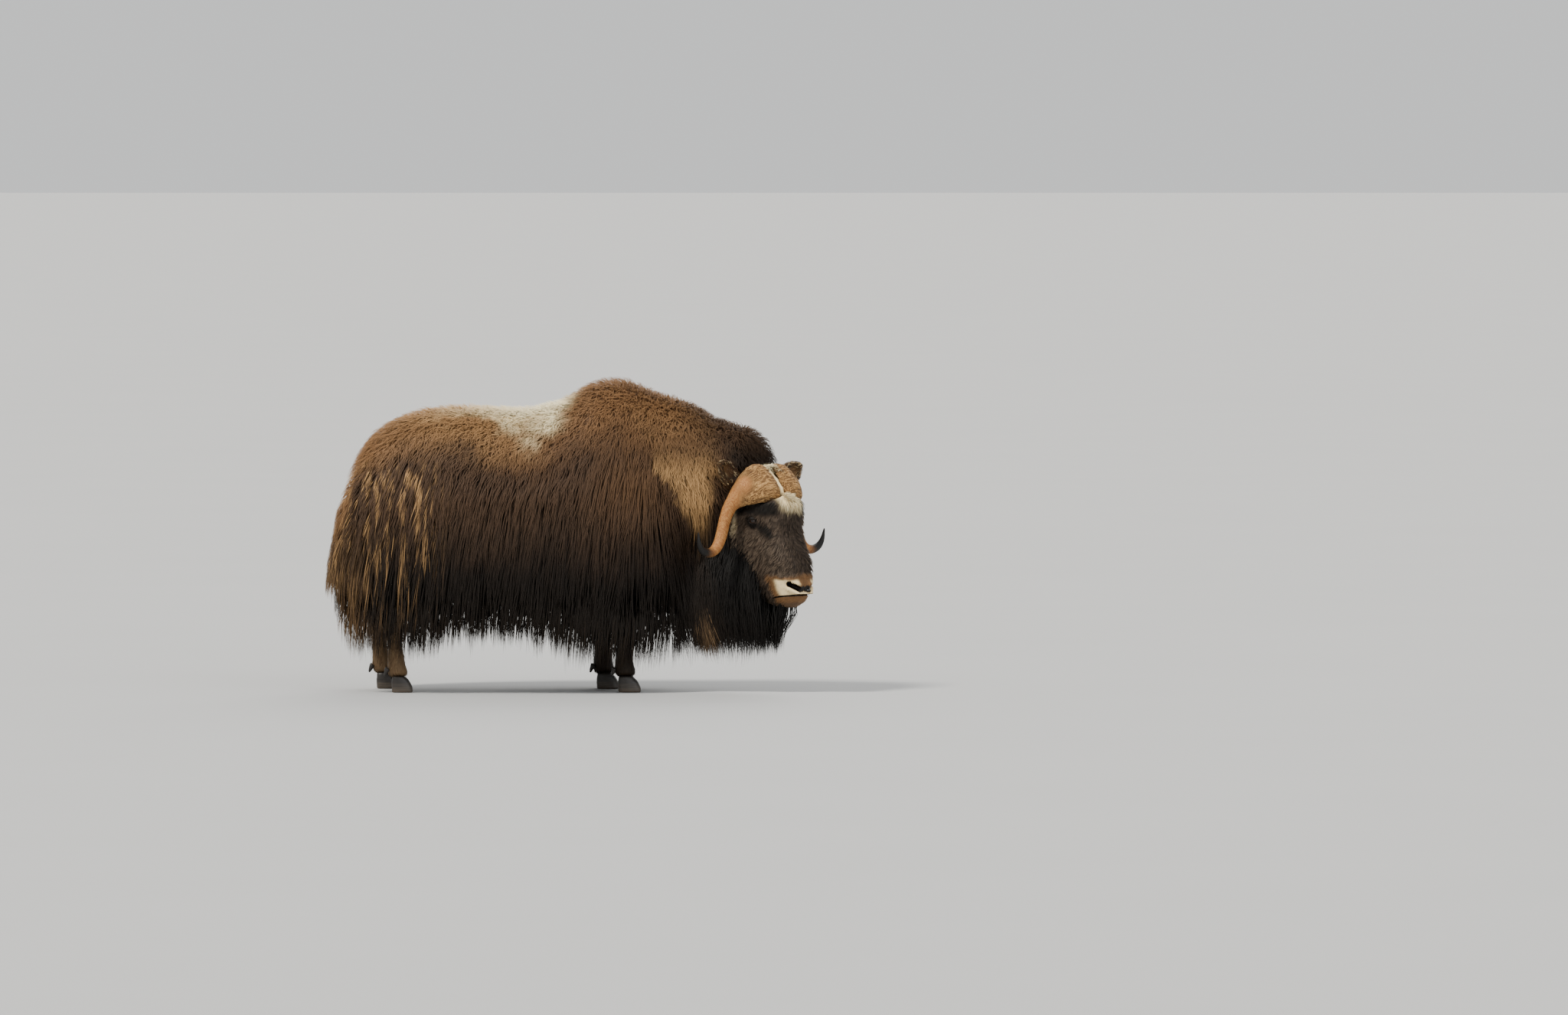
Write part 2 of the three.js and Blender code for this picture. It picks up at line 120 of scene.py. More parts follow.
def corners_of(box: tuple) -> list[Array]:
    """The lowest and the highest corner of a box."""
    return [np.array(corner) for corner in box]


def to_segment(points: Array, start: tuple, end: tuple) -> tuple[Array, Array]:
    """Distance from each point to a line between two points, and the share of the way along it."""
    start, end = np.array(start), np.array(end)
    way = end - start
    share = np.clip((points - start) @ way / (way @ way), 0.0, 1.0)
    return np.linalg.norm(points - start - share[:, None] * way, axis=1), share


def between(values: Array, cell: Array, share: Array) -> Array:
    """Blends the eight grid values round each place.

    Args:
        values: A grid of numbers.
        cell: The whole part of each place, as rows of three grid steps.
        share: The rest of each place, from 0 to 1.

    Returns:
        One number for each place.
    """
    _, wide, high = values.shape
    flat = values.reshape(-1)
    at = (cell[:, 0] * wide + cell[:, 1]) * high + cell[:, 2]
    x, y, z = share.T
    edges = [flat[at + step] + z * (flat[at + step + 1] - flat[at + step])
             for step in (0, high, wide * high, (wide + 1) * high)]
    near = edges[0] + y * (edges[1] - edges[0])
    far = edges[2] + y * (edges[3] - edges[2])
    return near + x * (far - near)


class Noise:
    """Smooth value noise on a lattice of seeded random numbers."""

    SIZE = 32

    def __init__(self, seed: int) -> None:
        """Draws the lattice, and repeats its first layer at the end so that it tiles."""
        lattice = np.random.default_rng(seed).random((self.SIZE,) * 3) * 2.0 - 1.0
        self.lattice = np.pad(lattice, ((0, 1),) * 3, mode="wrap")

    def at(self, points: Array, scale: float) -> Array:
        """Noise between -1 and 1 at the points, with features about `scale` metres across."""
        place = points / scale
        cell = np.floor(place).astype(int)
        share = place - cell
        return between(self.lattice, cell % self.SIZE, share * share * (3.0 - 2.0 * share))


def grid_places(shape: Array) -> Array:
    """The whole-number places of a grid, as an array of that shape with three numbers in each."""
    return np.stack(np.meshgrid(*[np.arange(n) for n in shape], indexing="ij"), -1)


def measure(tree: BVHTree, places: Array) -> Array:
    """Signed distance from the tree's surface, negative inside."""
    values = np.empty(len(places))
    nearest = tree.find_nearest
    for i, (x, y, z) in enumerate(places.tolist()):
        spot, normal, _, distance = nearest((x, y, z))
        out = (x - spot.x) * normal.x + (y - spot.y) * normal.y + (z - spot.z) * normal.z
        values[i] = distance if out > 0.0 else -distance
    return values


@dataclass
class Field:
    """Signed distance from a closed surface on a regular grid, negative inside."""

    low: Array
    step: float
    values: Array
    ROUGH = 3  # far from the surface the distance is measured only at every third place
    NEAR = 1.3  # rough steps from the surface within which it is measured at every place

    @classmethod
    def round(cls, surface: Object, step: float, margin: float) -> "Field":
        """Measures the distances from a mesh object.

        Args:
            surface: A closed mesh, evenly tessellated.
            step: Grid spacing in metres.
            margin: How far the grid reaches past the mesh.

        Returns:
            The field, lightly smoothed so that flat facets of the mesh become round.
        """
        mesh = surface.data
        points = np.empty(len(mesh.vertices) * 3)
        mesh.vertices.foreach_get("co", points)
        points = points.reshape(-1, 3)
        low = points.min(0) - margin
        shape = np.ceil((points.max(0) + margin - low) / step).astype(int) + 1
        tree = BVHTree.FromPolygons(points.tolist(), [tuple(p.vertices) for p in mesh.polygons])
        rough_step = cls.ROUGH * step
        rough_places = low + rough_step * grid_places(np.ceil(shape / cls.ROUGH).astype(int) + 1)
        rough_values = measure(tree, rough_places.reshape(-1, 3)).reshape(rough_places.shape[:3])
        places = (low + step * grid_places(shape)).reshape(-1, 3)
        values = cls(low, rough_step, rough_values).at(places)
        near = np.abs(values) < cls.NEAR * rough_step
        values[near] = measure(tree, places[near])
        values = values.reshape(shape)
        for axis in range(3):
            ahead, behind = np.roll(values, -1, axis), np.roll(values, 1, axis)
            inner = [slice(None)] * 3
            inner[axis] = slice(1, -1)
            values[tuple(inner)] = (0.5 * values + 0.25 * (ahead + behind))[tuple(inner)]
        return cls(low, step, values)

    def at(self, points: Array) -> Array:
        """Signed distance at the points; outside the grid it grows with the distance from the grid."""
        place = (points - self.low) / self.step
        limit = np.array(self.values.shape) - 1.001
        inside = np.clip(place, 0.0, limit)
        beyond = np.linalg.norm(place - inside, axis=1) * self.step
        cell = inside.astype(int)
        return between(self.values, cell, inside - cell) + beyond

    def slope(self, points: Array) -> Array:
        """The direction in which the distance grows fastest."""
        return slope_of(self.at, points, self.step)


def slope_of(distance: Callable, points: Array, reach: float) -> Array:
    """The direction in which a distance grows fastest at the points, compared over a reach."""
    steps = np.eye(3) * reach
    return unit(np.stack([distance(points + s) - distance(points - s) for s in steps], axis=1))


def in_scene(name: str, data: ID) -> Object:
    """Puts a new object into the scene."""
    piece = bpy.data.objects.new(name, data)
    bpy.context.scene.collection.objects.link(piece)
    return piece


def join_nodes(names: list[str], voxel: float) -> Object:
    """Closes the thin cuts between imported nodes.

    Args:
        names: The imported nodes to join.
        voxel: Size of the cubes that the joined shape is rebuilt from.

    Returns:
        One closed mesh object over all of them, outside the scene.
    """
    points, faces = [], []
    for name in names:
        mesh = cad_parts[name].data
        start = len(points)
        points += [tuple(v.co) for v in mesh.vertices]
        faces += [tuple(start + i for i in p.vertices) for p in mesh.polygons]
    rough = bpy.data.meshes.new("joined")
    rough.from_pydata(points, [], faces)
    piece = in_scene("joined", rough)
    remesh = piece.modifiers.new("rebuild", "REMESH")
    remesh.mode = "VOXEL"
    remesh.voxel_size = voxel
    done = bpy.data.meshes.new_from_object(piece.evaluated_get(bpy.context.evaluated_depsgraph_get()))
    bpy.data.objects.remove(piece)
    return bpy.data.objects.new("joined", done)


# The skin


@dataclass
class HeadPlace:
    """The head's own directions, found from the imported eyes."""

    eye_forward: float = 0.144  # from the back of the skull to the eyes
    origin: Array = field(init=False)
    forward: Array = field(init=False)
    left: Array = field(init=False)

    def __post_init__(self) -> None:
        """Takes the line between the eyes as the head's left and right."""
        right_eye, left_eye = [
            np.array([(a + b) / 2 for a, b in zip(*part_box(f"eye_{side}"))]) for side in SIDES
        ]
        self.left = unit(left_eye - right_eye)
        self.forward = np.array([self.left[1], -self.left[0], 0.0])
        self.origin = (left_eye + right_eye) / 2 - self.eye_forward * self.forward
        self.origin[2] = 0.0

    def local(self, points: Array) -> Array:
        """Points as distances forward, left and up from the back of the skull."""
        away = points - self.origin
        return np.stack([away @ self.forward, away @ self.left, away[:, 2]], axis=1)

    def folded(self, points: Array) -> Array:
        """The same, with the right half of the head laid over the left one."""
        local = self.local(points)
        local[:, 1] = np.abs(local[:, 1])
        return local

    def world(self, local: Array) -> Array:
        """The reverse of local."""
        flat = local[:, :1] * self.forward + local[:, 1:2] * self.left
        return self.origin + flat + local[:, 2:] * np.array([0.0, 0.0, 1.0])


class Part(Enum):
    """What a patch of skin belongs to."""

    TRUNK = 0
    HEAD = 1
    EAR = 2
    LEG = 3
    TAIL = 4


@dataclass
class Skin:
    """The animal's skin, below the coat, as one surface."""

    head: HeadPlace
    coarse: float = 0.014  # size of the skin's faces on the trunk
    fine: float = 0.0045  # and on the head
    ear_fine: float = 0.003
    cut_forward: float = -0.07  # where the head's shell ends, inside the neck
    cut_slope: float = 0.15
    head_space: tuple = ((-0.17, -0.20, 0.31), (0.40, 0.20, 1.06))  # in the head's own directions
    face_space: tuple = ((-0.02, -1.0, 0.34), (0.42, 0.17, 0.99))  # folded; only here the face has details
    space_margin: float = 0.012
    shell_step: float = 0.0015  # between the two shells, under the hair
    trunk_depth: float = 0.027  # of the coat on the back
    flank_depth: float = 0.078
    face_depth: float = 0.009
    leg_depth: float = 0.012
    ear_depth: float = -0.001
    muzzle_depth: float = 0.003
    back_height: float = 1.05  # above this the coat is as deep as on the back
    flank_height: float = 0.75  # and below this as deep as on the flank
    throat_foot: float = 0.50  # lowest skin below the throat
    eye_centre: tuple = (0.144, 0.114, 0.742)
    eye_radius: float = 0.020
    gaze: tuple = (0.5, 0.86, -0.05)
    lid_radius: float = 0.0248
    lid_crease: float = 0.0185
    lid_opening: tuple = (0.0175, 0.0100)
    mouth_corner: tuple = (0.199, 0.412)
    mouth_rise: float = 0.105
    brow_line: tuple = ((0.182, 0.094, 0.782), (0.100, 0.124, 0.776))  # lines on the face's left half
    cheek_line: tuple = ((0.19, 0.092, 0.700), (0.09, 0.112, 0.690))
    gland_line: tuple = ((0.186, 0.112, 0.722), (0.214, 0.108, 0.690))
    nostril_rim: tuple = ((0.349, 0.026, 0.470), (0.303, 0.074, 0.492))
    nostril_floor: tuple = ((0.345, 0.036, 0.432), (0.315, 0.068, 0.452))
    nostril_line: tuple = ((0.352, 0.024, 0.446), (0.314, 0.062, 0.475))
    nostril_passage: tuple = ((0.336, 0.026, 0.452), (0.292, 0.054, 0.474))
    parting_line: tuple = (  # the skin between the two bosses
        (0.203, 0.0, 0.842), (0.190, 0.0, 0.876), (0.160, 0.0, 0.911),
        (0.124, 0.0, 0.940), (0.088, 0.0, 0.950),
    )
    parting_radius: float = 0.011
    leg_top: float = 0.43
    mane_growth: float = 1.6  # extra depth of hair below the throat, for each metre down
    noise: Noise = field(default_factory=lambda: Noise(SEED))

    def measure_frame(self) -> None:
        """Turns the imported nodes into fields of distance, one for each kind of part."""
        log.info("measuring the packed solids")
        skull = HEAD_NODES + ["eye_right", "eye_left"]
        self.body = Field.round(join_nodes(TRUNK_NODES + skull + LEG_NODES, 0.012), 0.020, 0.06)
        self.skull = Field.round(join_nodes(skull, 0.005), 0.008, 0.03)
        self.ears = Field.round(join_nodes(EAR_NODES, 0.002), 0.003, 0.012)
        self.legs = Field.round(join_nodes(LEG_NODES, 0.008), 0.014, 0.03)
        self.tail = Field.round(join_nodes(TAIL_NODES, 0.006), 0.010, 0.02)

    def coat_depth(self, points: Array) -> Array:
        """How far the trunk's skin lies below the tips of its coat."""
        height = points[:, 2]
        deeper = ease(height, self.back_height, self.flank_height)
        depth = self.trunk_depth + (self.flank_depth - self.trunk_depth) * deeper
        mane = ease(points[:, 0], 0.50, 0.62) * np.maximum(0.60 - height, 0.0)
        return depth + self.mane_growth * mane

    def part_distances(self, points: Array) -> Array:
        """Distance from the skin of each part, in the order of Part, without the face's details."""
        lowered = points.copy()
        lowered[:, 2] = np.minimum(points[:, 2], self.leg_top)
        legs = np.maximum(self.legs.at(lowered), points[:, 2] - 0.75)
        throat = self.throat_foot - points[:, 2] - 2.0 * np.maximum(0.50 - points[:, 0], 0.0)
        trunk = carve(self.body.at(points) + self.coat_depth(points), -throat, 0.06)
        pastern = 0.3 + 0.7 * ease(points[:, 2], 0.13, 0.22)
        return np.stack([
            trunk,
            self.skull.at(points) + self.face_depth,
            self.ears.at(points) + self.ear_depth,
            legs + self.leg_depth * pastern,
            self.tail.at(points) + self.leg_depth,
        ])

    def plain(self, points: Array) -> Array:
        """Distance from the skin with its parts blended, without the face's details."""
        trunk, skull, ears, legs, tail = self.part_distances(points)
        whole = blend_least(trunk, skull, 0.04)
        whole = blend_least(whole, legs, 0.05)
        whole = blend_least(whole, tail, 0.02)
        return blend_least(whole, ears, 0.008)

    def detailed(self, points: Array) -> Array:
        """Distance from the finished skin, with eyelids, nostrils and mouth."""
        value = self.plain(points)
        both = self.head.folded(points)
        low, high = corners_of(self.face_space)
        near = ((both > low) & (both < high)).all(1)
        if near.any():
            value[near] = self.face(value[near], both[near])
        return value

    def face(self, value: Array, both: Array) -> Array:
        """Works the face's details into the distance.

        Args:
            value: Distance from the plain skin.
            both: The same points in the head's own directions, folded.

        Returns:
            Distance from the detailed skin.
        """
        muzzle = ease(both[:, 0], 0.20, 0.27) * ease(both[:, 2], 0.53, 0.49)
        value = value - (self.face_depth - self.muzzle_depth) * muzzle
        brow, _ = to_segment(both, *self.brow_line)
        value = blend_least(value, brow - 0.011, 0.024)
        cheekbone, _ = to_segment(both, *self.cheek_line)
        value = blend_least(value, cheekbone - 0.004, 0.034)
        value = self.eyelids(value, both)
        for start, end in zip(self.parting_line, self.parting_line[1:]):
            ridge, _ = to_segment(both, start, end)
            value = blend_least(value, ridge - self.parting_radius, 0.006)
        gland, _ = to_segment(both, *self.gland_line)
        value = carve(value, gland - 0.004, 0.008)
        rim, share = to_segment(both, *self.nostril_rim)
        value = blend_least(value, rim - 0.007 + 0.003 * share, 0.018)
        lower_rim, _ = to_segment(both, *self.nostril_floor)
        value = blend_least(value, lower_rim - 0.006, 0.018)
        nostril, share = to_segment(both, *self.nostril_line)
        value = carve(value, nostril - (0.007 + 0.009 * share * (1.7 - share)), 0.005)
        passage, share = to_segment(both, *self.nostril_passage)
        value = carve(value, passage - (0.006 + 0.006 * share), 0.006)
        return self.mouth(value, both)

    def from_eye(self, both: Array) -> Array:
        """Distance from the middle of the eye, for folded points."""
        return np.linalg.norm(both - np.array(self.eye_centre), axis=1)

    def eyelids(self, value: Array, both: Array) -> Array:
        """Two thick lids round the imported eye, open in an almond."""
        away = both - np.array(self.eye_centre)
        gaze = unit(np.array(self.gaze))
        across = unit(np.cross(gaze, [0.0, 0.0, 1.0]) + np.array([0.0, 0.0, -0.10]))
        over = np.cross(across, gaze)
        out, wide, high = away @ gaze, away @ across, away @ over
        reach = np.linalg.norm(away, axis=1)
        value = blend_least(value, reach - self.lid_radius, 0.010)
        crease = np.abs(np.hypot(wide * 0.8, high - 0.001) - self.lid_crease) - 0.0012
        value = carve(value, np.maximum(crease, self.lid_radius - 0.004 - reach), 0.004)
        half_wide, half_high = self.lid_opening
        almond = np.hypot(wide / half_wide, (high + 0.001) / half_high) - 1.0
        opening = np.maximum(np.maximum(almond * half_high, self.eye_radius - 0.0008 - reach), -out)
        return carve(value, opening, 0.0012)

    def mouth(self, value: Array, both: Array) -> Array:
        """The line between the lips, and the groove below the nose."""
        line = self.mouth_corner[1] + (both[:, 0] - self.mouth_corner[0]) * self.mouth_rise
        lips = np.maximum(np.abs(both[:, 2] - line) - 0.0022, -value - 0.014)
        lips = np.maximum(lips, self.mouth_corner[0] - 0.01 - both[:, 0])
        value = carve(value, lips, 0.003)
        groove = np.maximum(both[:, 1] - 0.0015, -value - 0.004)
        groove = np.maximum(groove, np.abs(both[:, 2] - 0.437) - 0.018)
        return carve(value, groove, 0.003)

    def neck_cut(self, points: Array) -> Array:
        """Distance behind the slanting plane inside the neck where the head's shell ends."""
        local = self.head.local(points)
        return self.cut_forward - local[:, 0] - self.cut_slope * (local[:, 2] - 0.7)

    def body_shell(self, points: Array) -> Array:
        """The body's distance, a hair's breadth smaller where the head's shell covers it."""
        without_head = self.part_distances(points)
        value = blend_least(without_head[0], without_head[Part.LEG.value], 0.05)
        value = blend_least(value, without_head[Part.TAIL.value], 0.02)
        return value + self.shell_step * ease(self.neck_cut(points), 0.02, -0.01)

    def head_shell(self, points: Array) -> Array:
        """The head's distance, cut off inside the neck and at the sides of its own space."""
        low, high = corners_of(self.head_space)
        local = self.head.local(points)
        beyond = np.maximum(low + self.space_margin - local, local - high + self.space_margin).max(1)
        return np.maximum(np.maximum(self.detailed(points), self.neck_cut(points)), beyond)

    def ear_shell(self, points: Array) -> Array:
        """The ears' distance, with their roots inside the head."""
        return self.ears.at(points) + self.ear_depth

    def build(self) -> Object:
        """Makes the skin: shells of the body, head and ears, each as fine as it needs, made into one."""
        self.measure_frame()
        low, high = corners_of(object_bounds())
        body = shell_mesh("skin", self.body_shell, low - 0.03, high + 0.03, self.coarse)
        low, high = corners_of(self.head_space)
        head = shell_mesh("head", self.head_shell, low, high, self.fine, self.head)
        for level in (1, 2):
            self.refine(head, level)
        ears = [
            shell_mesh(f"ear_{side}", self.ear_shell, *self.ear_box(side), self.ear_fine) for side in SIDES
        ]
        piece = unite([body, head] + ears)
        piece.name = piece.data.name = "skin"
        piece.data.shade_smooth()
        log.info("skin: %d faces", len(piece.data.polygons))
        return piece

    def ear_box(self, side: str) -> tuple[Array, Array]:
        """The space round one packed ear."""
        low, high = corners_of(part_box(f"ear_{side}"))
        return low - 3 * self.ear_fine, high + 3 * self.ear_fine

    def refine(self, mesh: Mesh, level: int) -> None:
        """Splits the faces round the eyes, nostrils and lips, and moves them onto the exact surface.

        Args:
            mesh: The head's shell.
            level: 1 for the first split, over a wider patch, and 2 for the second.
        """
        build = bmesh.new()
        build.from_mesh(mesh)
        middles = np.array([f.calc_center_median()[:] for f in build.faces])
        both = self.head.folded(middles)
        wanted = self.from_eye(both) < (0.040 if level == 1 else 0.028)
        if level == 1:
            wanted |= (both[:, 0] > 0.22) & (both[:, 2] < 0.51)
        wanted |= (both[:, 0] > 0.18) & (np.abs(both[:, 2] - 0.419) < 0.012)
        edges = list({e for f, want in zip(build.faces, wanted) if want for e in f.edges})
        bmesh.ops.subdivide_edges(build, edges=edges, cuts=1, use_grid_fill=True)
        build.to_mesh(mesh)
        build.free()
        settle(mesh, self.head_shell, self.fine / 3 ** level)


def settle(mesh: Mesh, distance: Callable, reach: float) -> None:
    """Moves a mesh's vertices onto the exact surface.

    Args:
        mesh: The mesh to move.
        distance: Gives the signed distance from the surface at any points.
        reach: How far apart the distance is compared to find its slope.
    """
    points = vertices_of(mesh)
    for _ in range(3):
        value = distance(points)
        near = np.abs(value) > reach * 0.02
        away = np.clip(value[near], -2 * reach, 2 * reach)[:, None]
        points[near] -= slope_of(distance, points[near], reach) * away
    mesh.vertices.foreach_set("co", points.ravel())
    mesh.update()


def shell_mesh(
    name: str, distance: Callable, low: Array, high: Array, step: float, place: HeadPlace | None = None,
) -> Mesh:
    """Makes a closed mesh of the surface where a distance is zero.

    Args:
        name: The mesh's name.
        distance: Gives the signed distance at any points.
        low: The lowest corner of the space to look in.
        high: The highest corner.
        step: The size of the mesh's faces.
        place: Directions that the corners are given in, or None for the frame's own.

    Returns:
        The largest closed shell found.
    """
    shape = np.ceil((high - low) / step).astype(int) + 1
    places = low + step * grid_places(shape).reshape(-1, 3)
    values = distance(place.world(places) if place else places).reshape(shape)
    points, quads = surface_nets(values, low, step)
    mesh = bpy.data.meshes.new(name)
    mesh.from_pydata((place.world(points) if place else points).tolist(), [], quads.tolist())
    keep_largest(mesh)
    settle(mesh, distance, step / 3)
    return mesh


def unite(meshes: list[Mesh]) -> Object:
    """Makes one closed surface from overlapping closed meshes."""
    pieces = [in_scene(mesh.name, mesh) for mesh in meshes]
    whole = pieces[0]
    for other in pieces[1:]:
        union = whole.modifiers.new("union", "BOOLEAN")
        union.operation, union.solver, union.object = "UNION", "MANIFOLD", other
    done = bpy.data.meshes.new_from_object(whole.evaluated_get(bpy.context.evaluated_depsgraph_get()))
    whole.modifiers.clear()
    whole.data = done
    for other in pieces[1:]:
        bpy.data.objects.remove(other)
    return whole


def vertices_of(mesh: Mesh) -> Array:
    """A mesh's vertices as rows of x, y and z."""
    points = np.empty(len(mesh.vertices) * 3)
    mesh.vertices.foreach_get("co", points)
    return points.reshape(-1, 3)


def fill_corners(values: Array, depth: float) -> Array:
    """Fills the places where two parts of a solid touch only along an edge, so that every edge has two faces.

    Args:
        values: Distances on a regular grid.
        depth: How far inside the filled places count as.

    Returns:
        The distances, with no square of the grid that is inside at two opposite corners only.
    """
    values = values.copy()
    for _ in range(FILL_ROUNDS):
        found = 0
        for axis in range(3):
            turned = np.moveaxis(values, axis, 0)
            inside = turned < 0.0
            a, b, c, d = inside[:, :-1, :-1], inside[:, 1:, :-1], inside[:, :-1, 1:], inside[:, 1:, 1:]
            layer, row, column = np.nonzero((a == d) & (b == c) & (a != b))
            for down, right in np.ndindex(2, 2):
                place = (layer, row + down, column + right)
                turned[place] = np.minimum(turned[place], -depth)
            found += len(layer)
        if not found:
            break
    return values


def surface_nets(values: Array, low: Array, step: float) -> tuple[Array, Array]:
    """The surface where a grid of distances crosses zero.

    Args:
        values: Distances on a regular grid, negative inside.
        low: The grid's lowest corner.
        step: The grid's spacing.

    Returns:
        Vertices, one in each cell that the surface crosses, and four-sided faces that face out.
    """
    values = fill_corners(values, 0.05 * step)
    inside = values < 0.0
    size = np.array(values.shape) - 1
    corners = [np.array(c) for c in np.ndindex(2, 2, 2)]
    count = sum(inside[i : size[0] + i, j : size[1] + j, k : size[2] + k].astype(int) for i, j, k in corners)
    mixed = (count > 0) & (count < 8)
    cells = np.argwhere(mixed)
    index = np.full(mixed.shape, -1)
    index[mixed] = np.arange(len(cells))
    total, hits = np.zeros((len(cells), 3)), np.zeros(len(cells))
    for first in corners:
        for second in corners:
            if (second - first).sum() != 1 or (second < first).any():
                continue
            a, b = values[tuple((cells + first).T)], values[tuple((cells + second).T)]
            cross = (a < 0.0) != (b < 0.0)
            share = a[cross] / (a[cross] - b[cross])
            total[cross] += first + (second - first) * share[:, None]
            hits[cross] += 1
    points = low + step * (cells + total / hits[:, None])
    quads = []
    for axis in range(3):
        one, two = [np.eye(3, dtype=int)[(axis + turn) % 3] for turn in (1, 2)]
        change = np.diff(inside.astype(int), axis=axis)
        edges = np.argwhere(change != 0)
        leaving = change[tuple(edges.T)] < 0
        room = (edges[:, (axis + 1) % 3] > 0) & (edges[:, (axis + 2) % 3] > 0)
        edges, leaving = edges[room], leaving[room]
        ring = [index[tuple((edges - away).T)] for away in (0 * one, one, one + two, two)]
        quad = np.stack(ring, axis=1)
        quad[~leaving] = quad[~leaving][:, ::-1]
        quads.append(quad)
    return points, np.concatenate(quads)


def keep_largest(mesh: Mesh) -> None:
    """Removes loose shells, so that one closed surface is left."""
    build = bmesh.new()
    build.from_mesh(mesh)
    seen, shells = set(), []
    for start in build.verts:
        if start in seen:
            continue
        shell, edge = {start}, [start]
        while edge:
            near = [e.other_vert(v) for v in edge for e in v.link_edges]
            edge = [v for v in set(near) if v not in shell]
            shell.update(edge)
        seen |= shell
        shells.append(shell)
    largest = max(shells, key=len)
    bmesh.ops.delete(build, geom=[v for v in build.verts if v not in largest], context="VERTS")
    bmesh.ops.recalc_face_normals(build, faces=build.faces)
    build.to_mesh(mesh)
    build.free()


def set_numbers(mesh: Mesh, name: str, values: Array) -> None:
    """Stores one number, or one row of three, on each vertex under a name that materials can read."""
    kind, key = ("FLOAT_VECTOR", "vector") if values.ndim == 2 else ("FLOAT", "value")
    layer = mesh.attributes.new(name, kind, "POINT")
    layer.data.foreach_set(key, np.ascontiguousarray(values, dtype=np.float32).ravel())


def smooth_table(places: tuple, values: tuple, samples: int = 240) -> tuple[Array, Array]:
    """A table that runs smoothly through a few values, for np.interp."""
    fine = np.linspace(places[0], places[-1], samples)
    table = np.interp(fine, places, values)
    reach = max(samples // (3 * len(places)), 1)
    for _ in range(3):
        even = np.ones(2 * reach + 1) / (2 * reach + 1)
        table = np.convolve(np.pad(table, reach, mode="edge"), even, "valid")
    return fine, table


# Horns, eyes and hooves


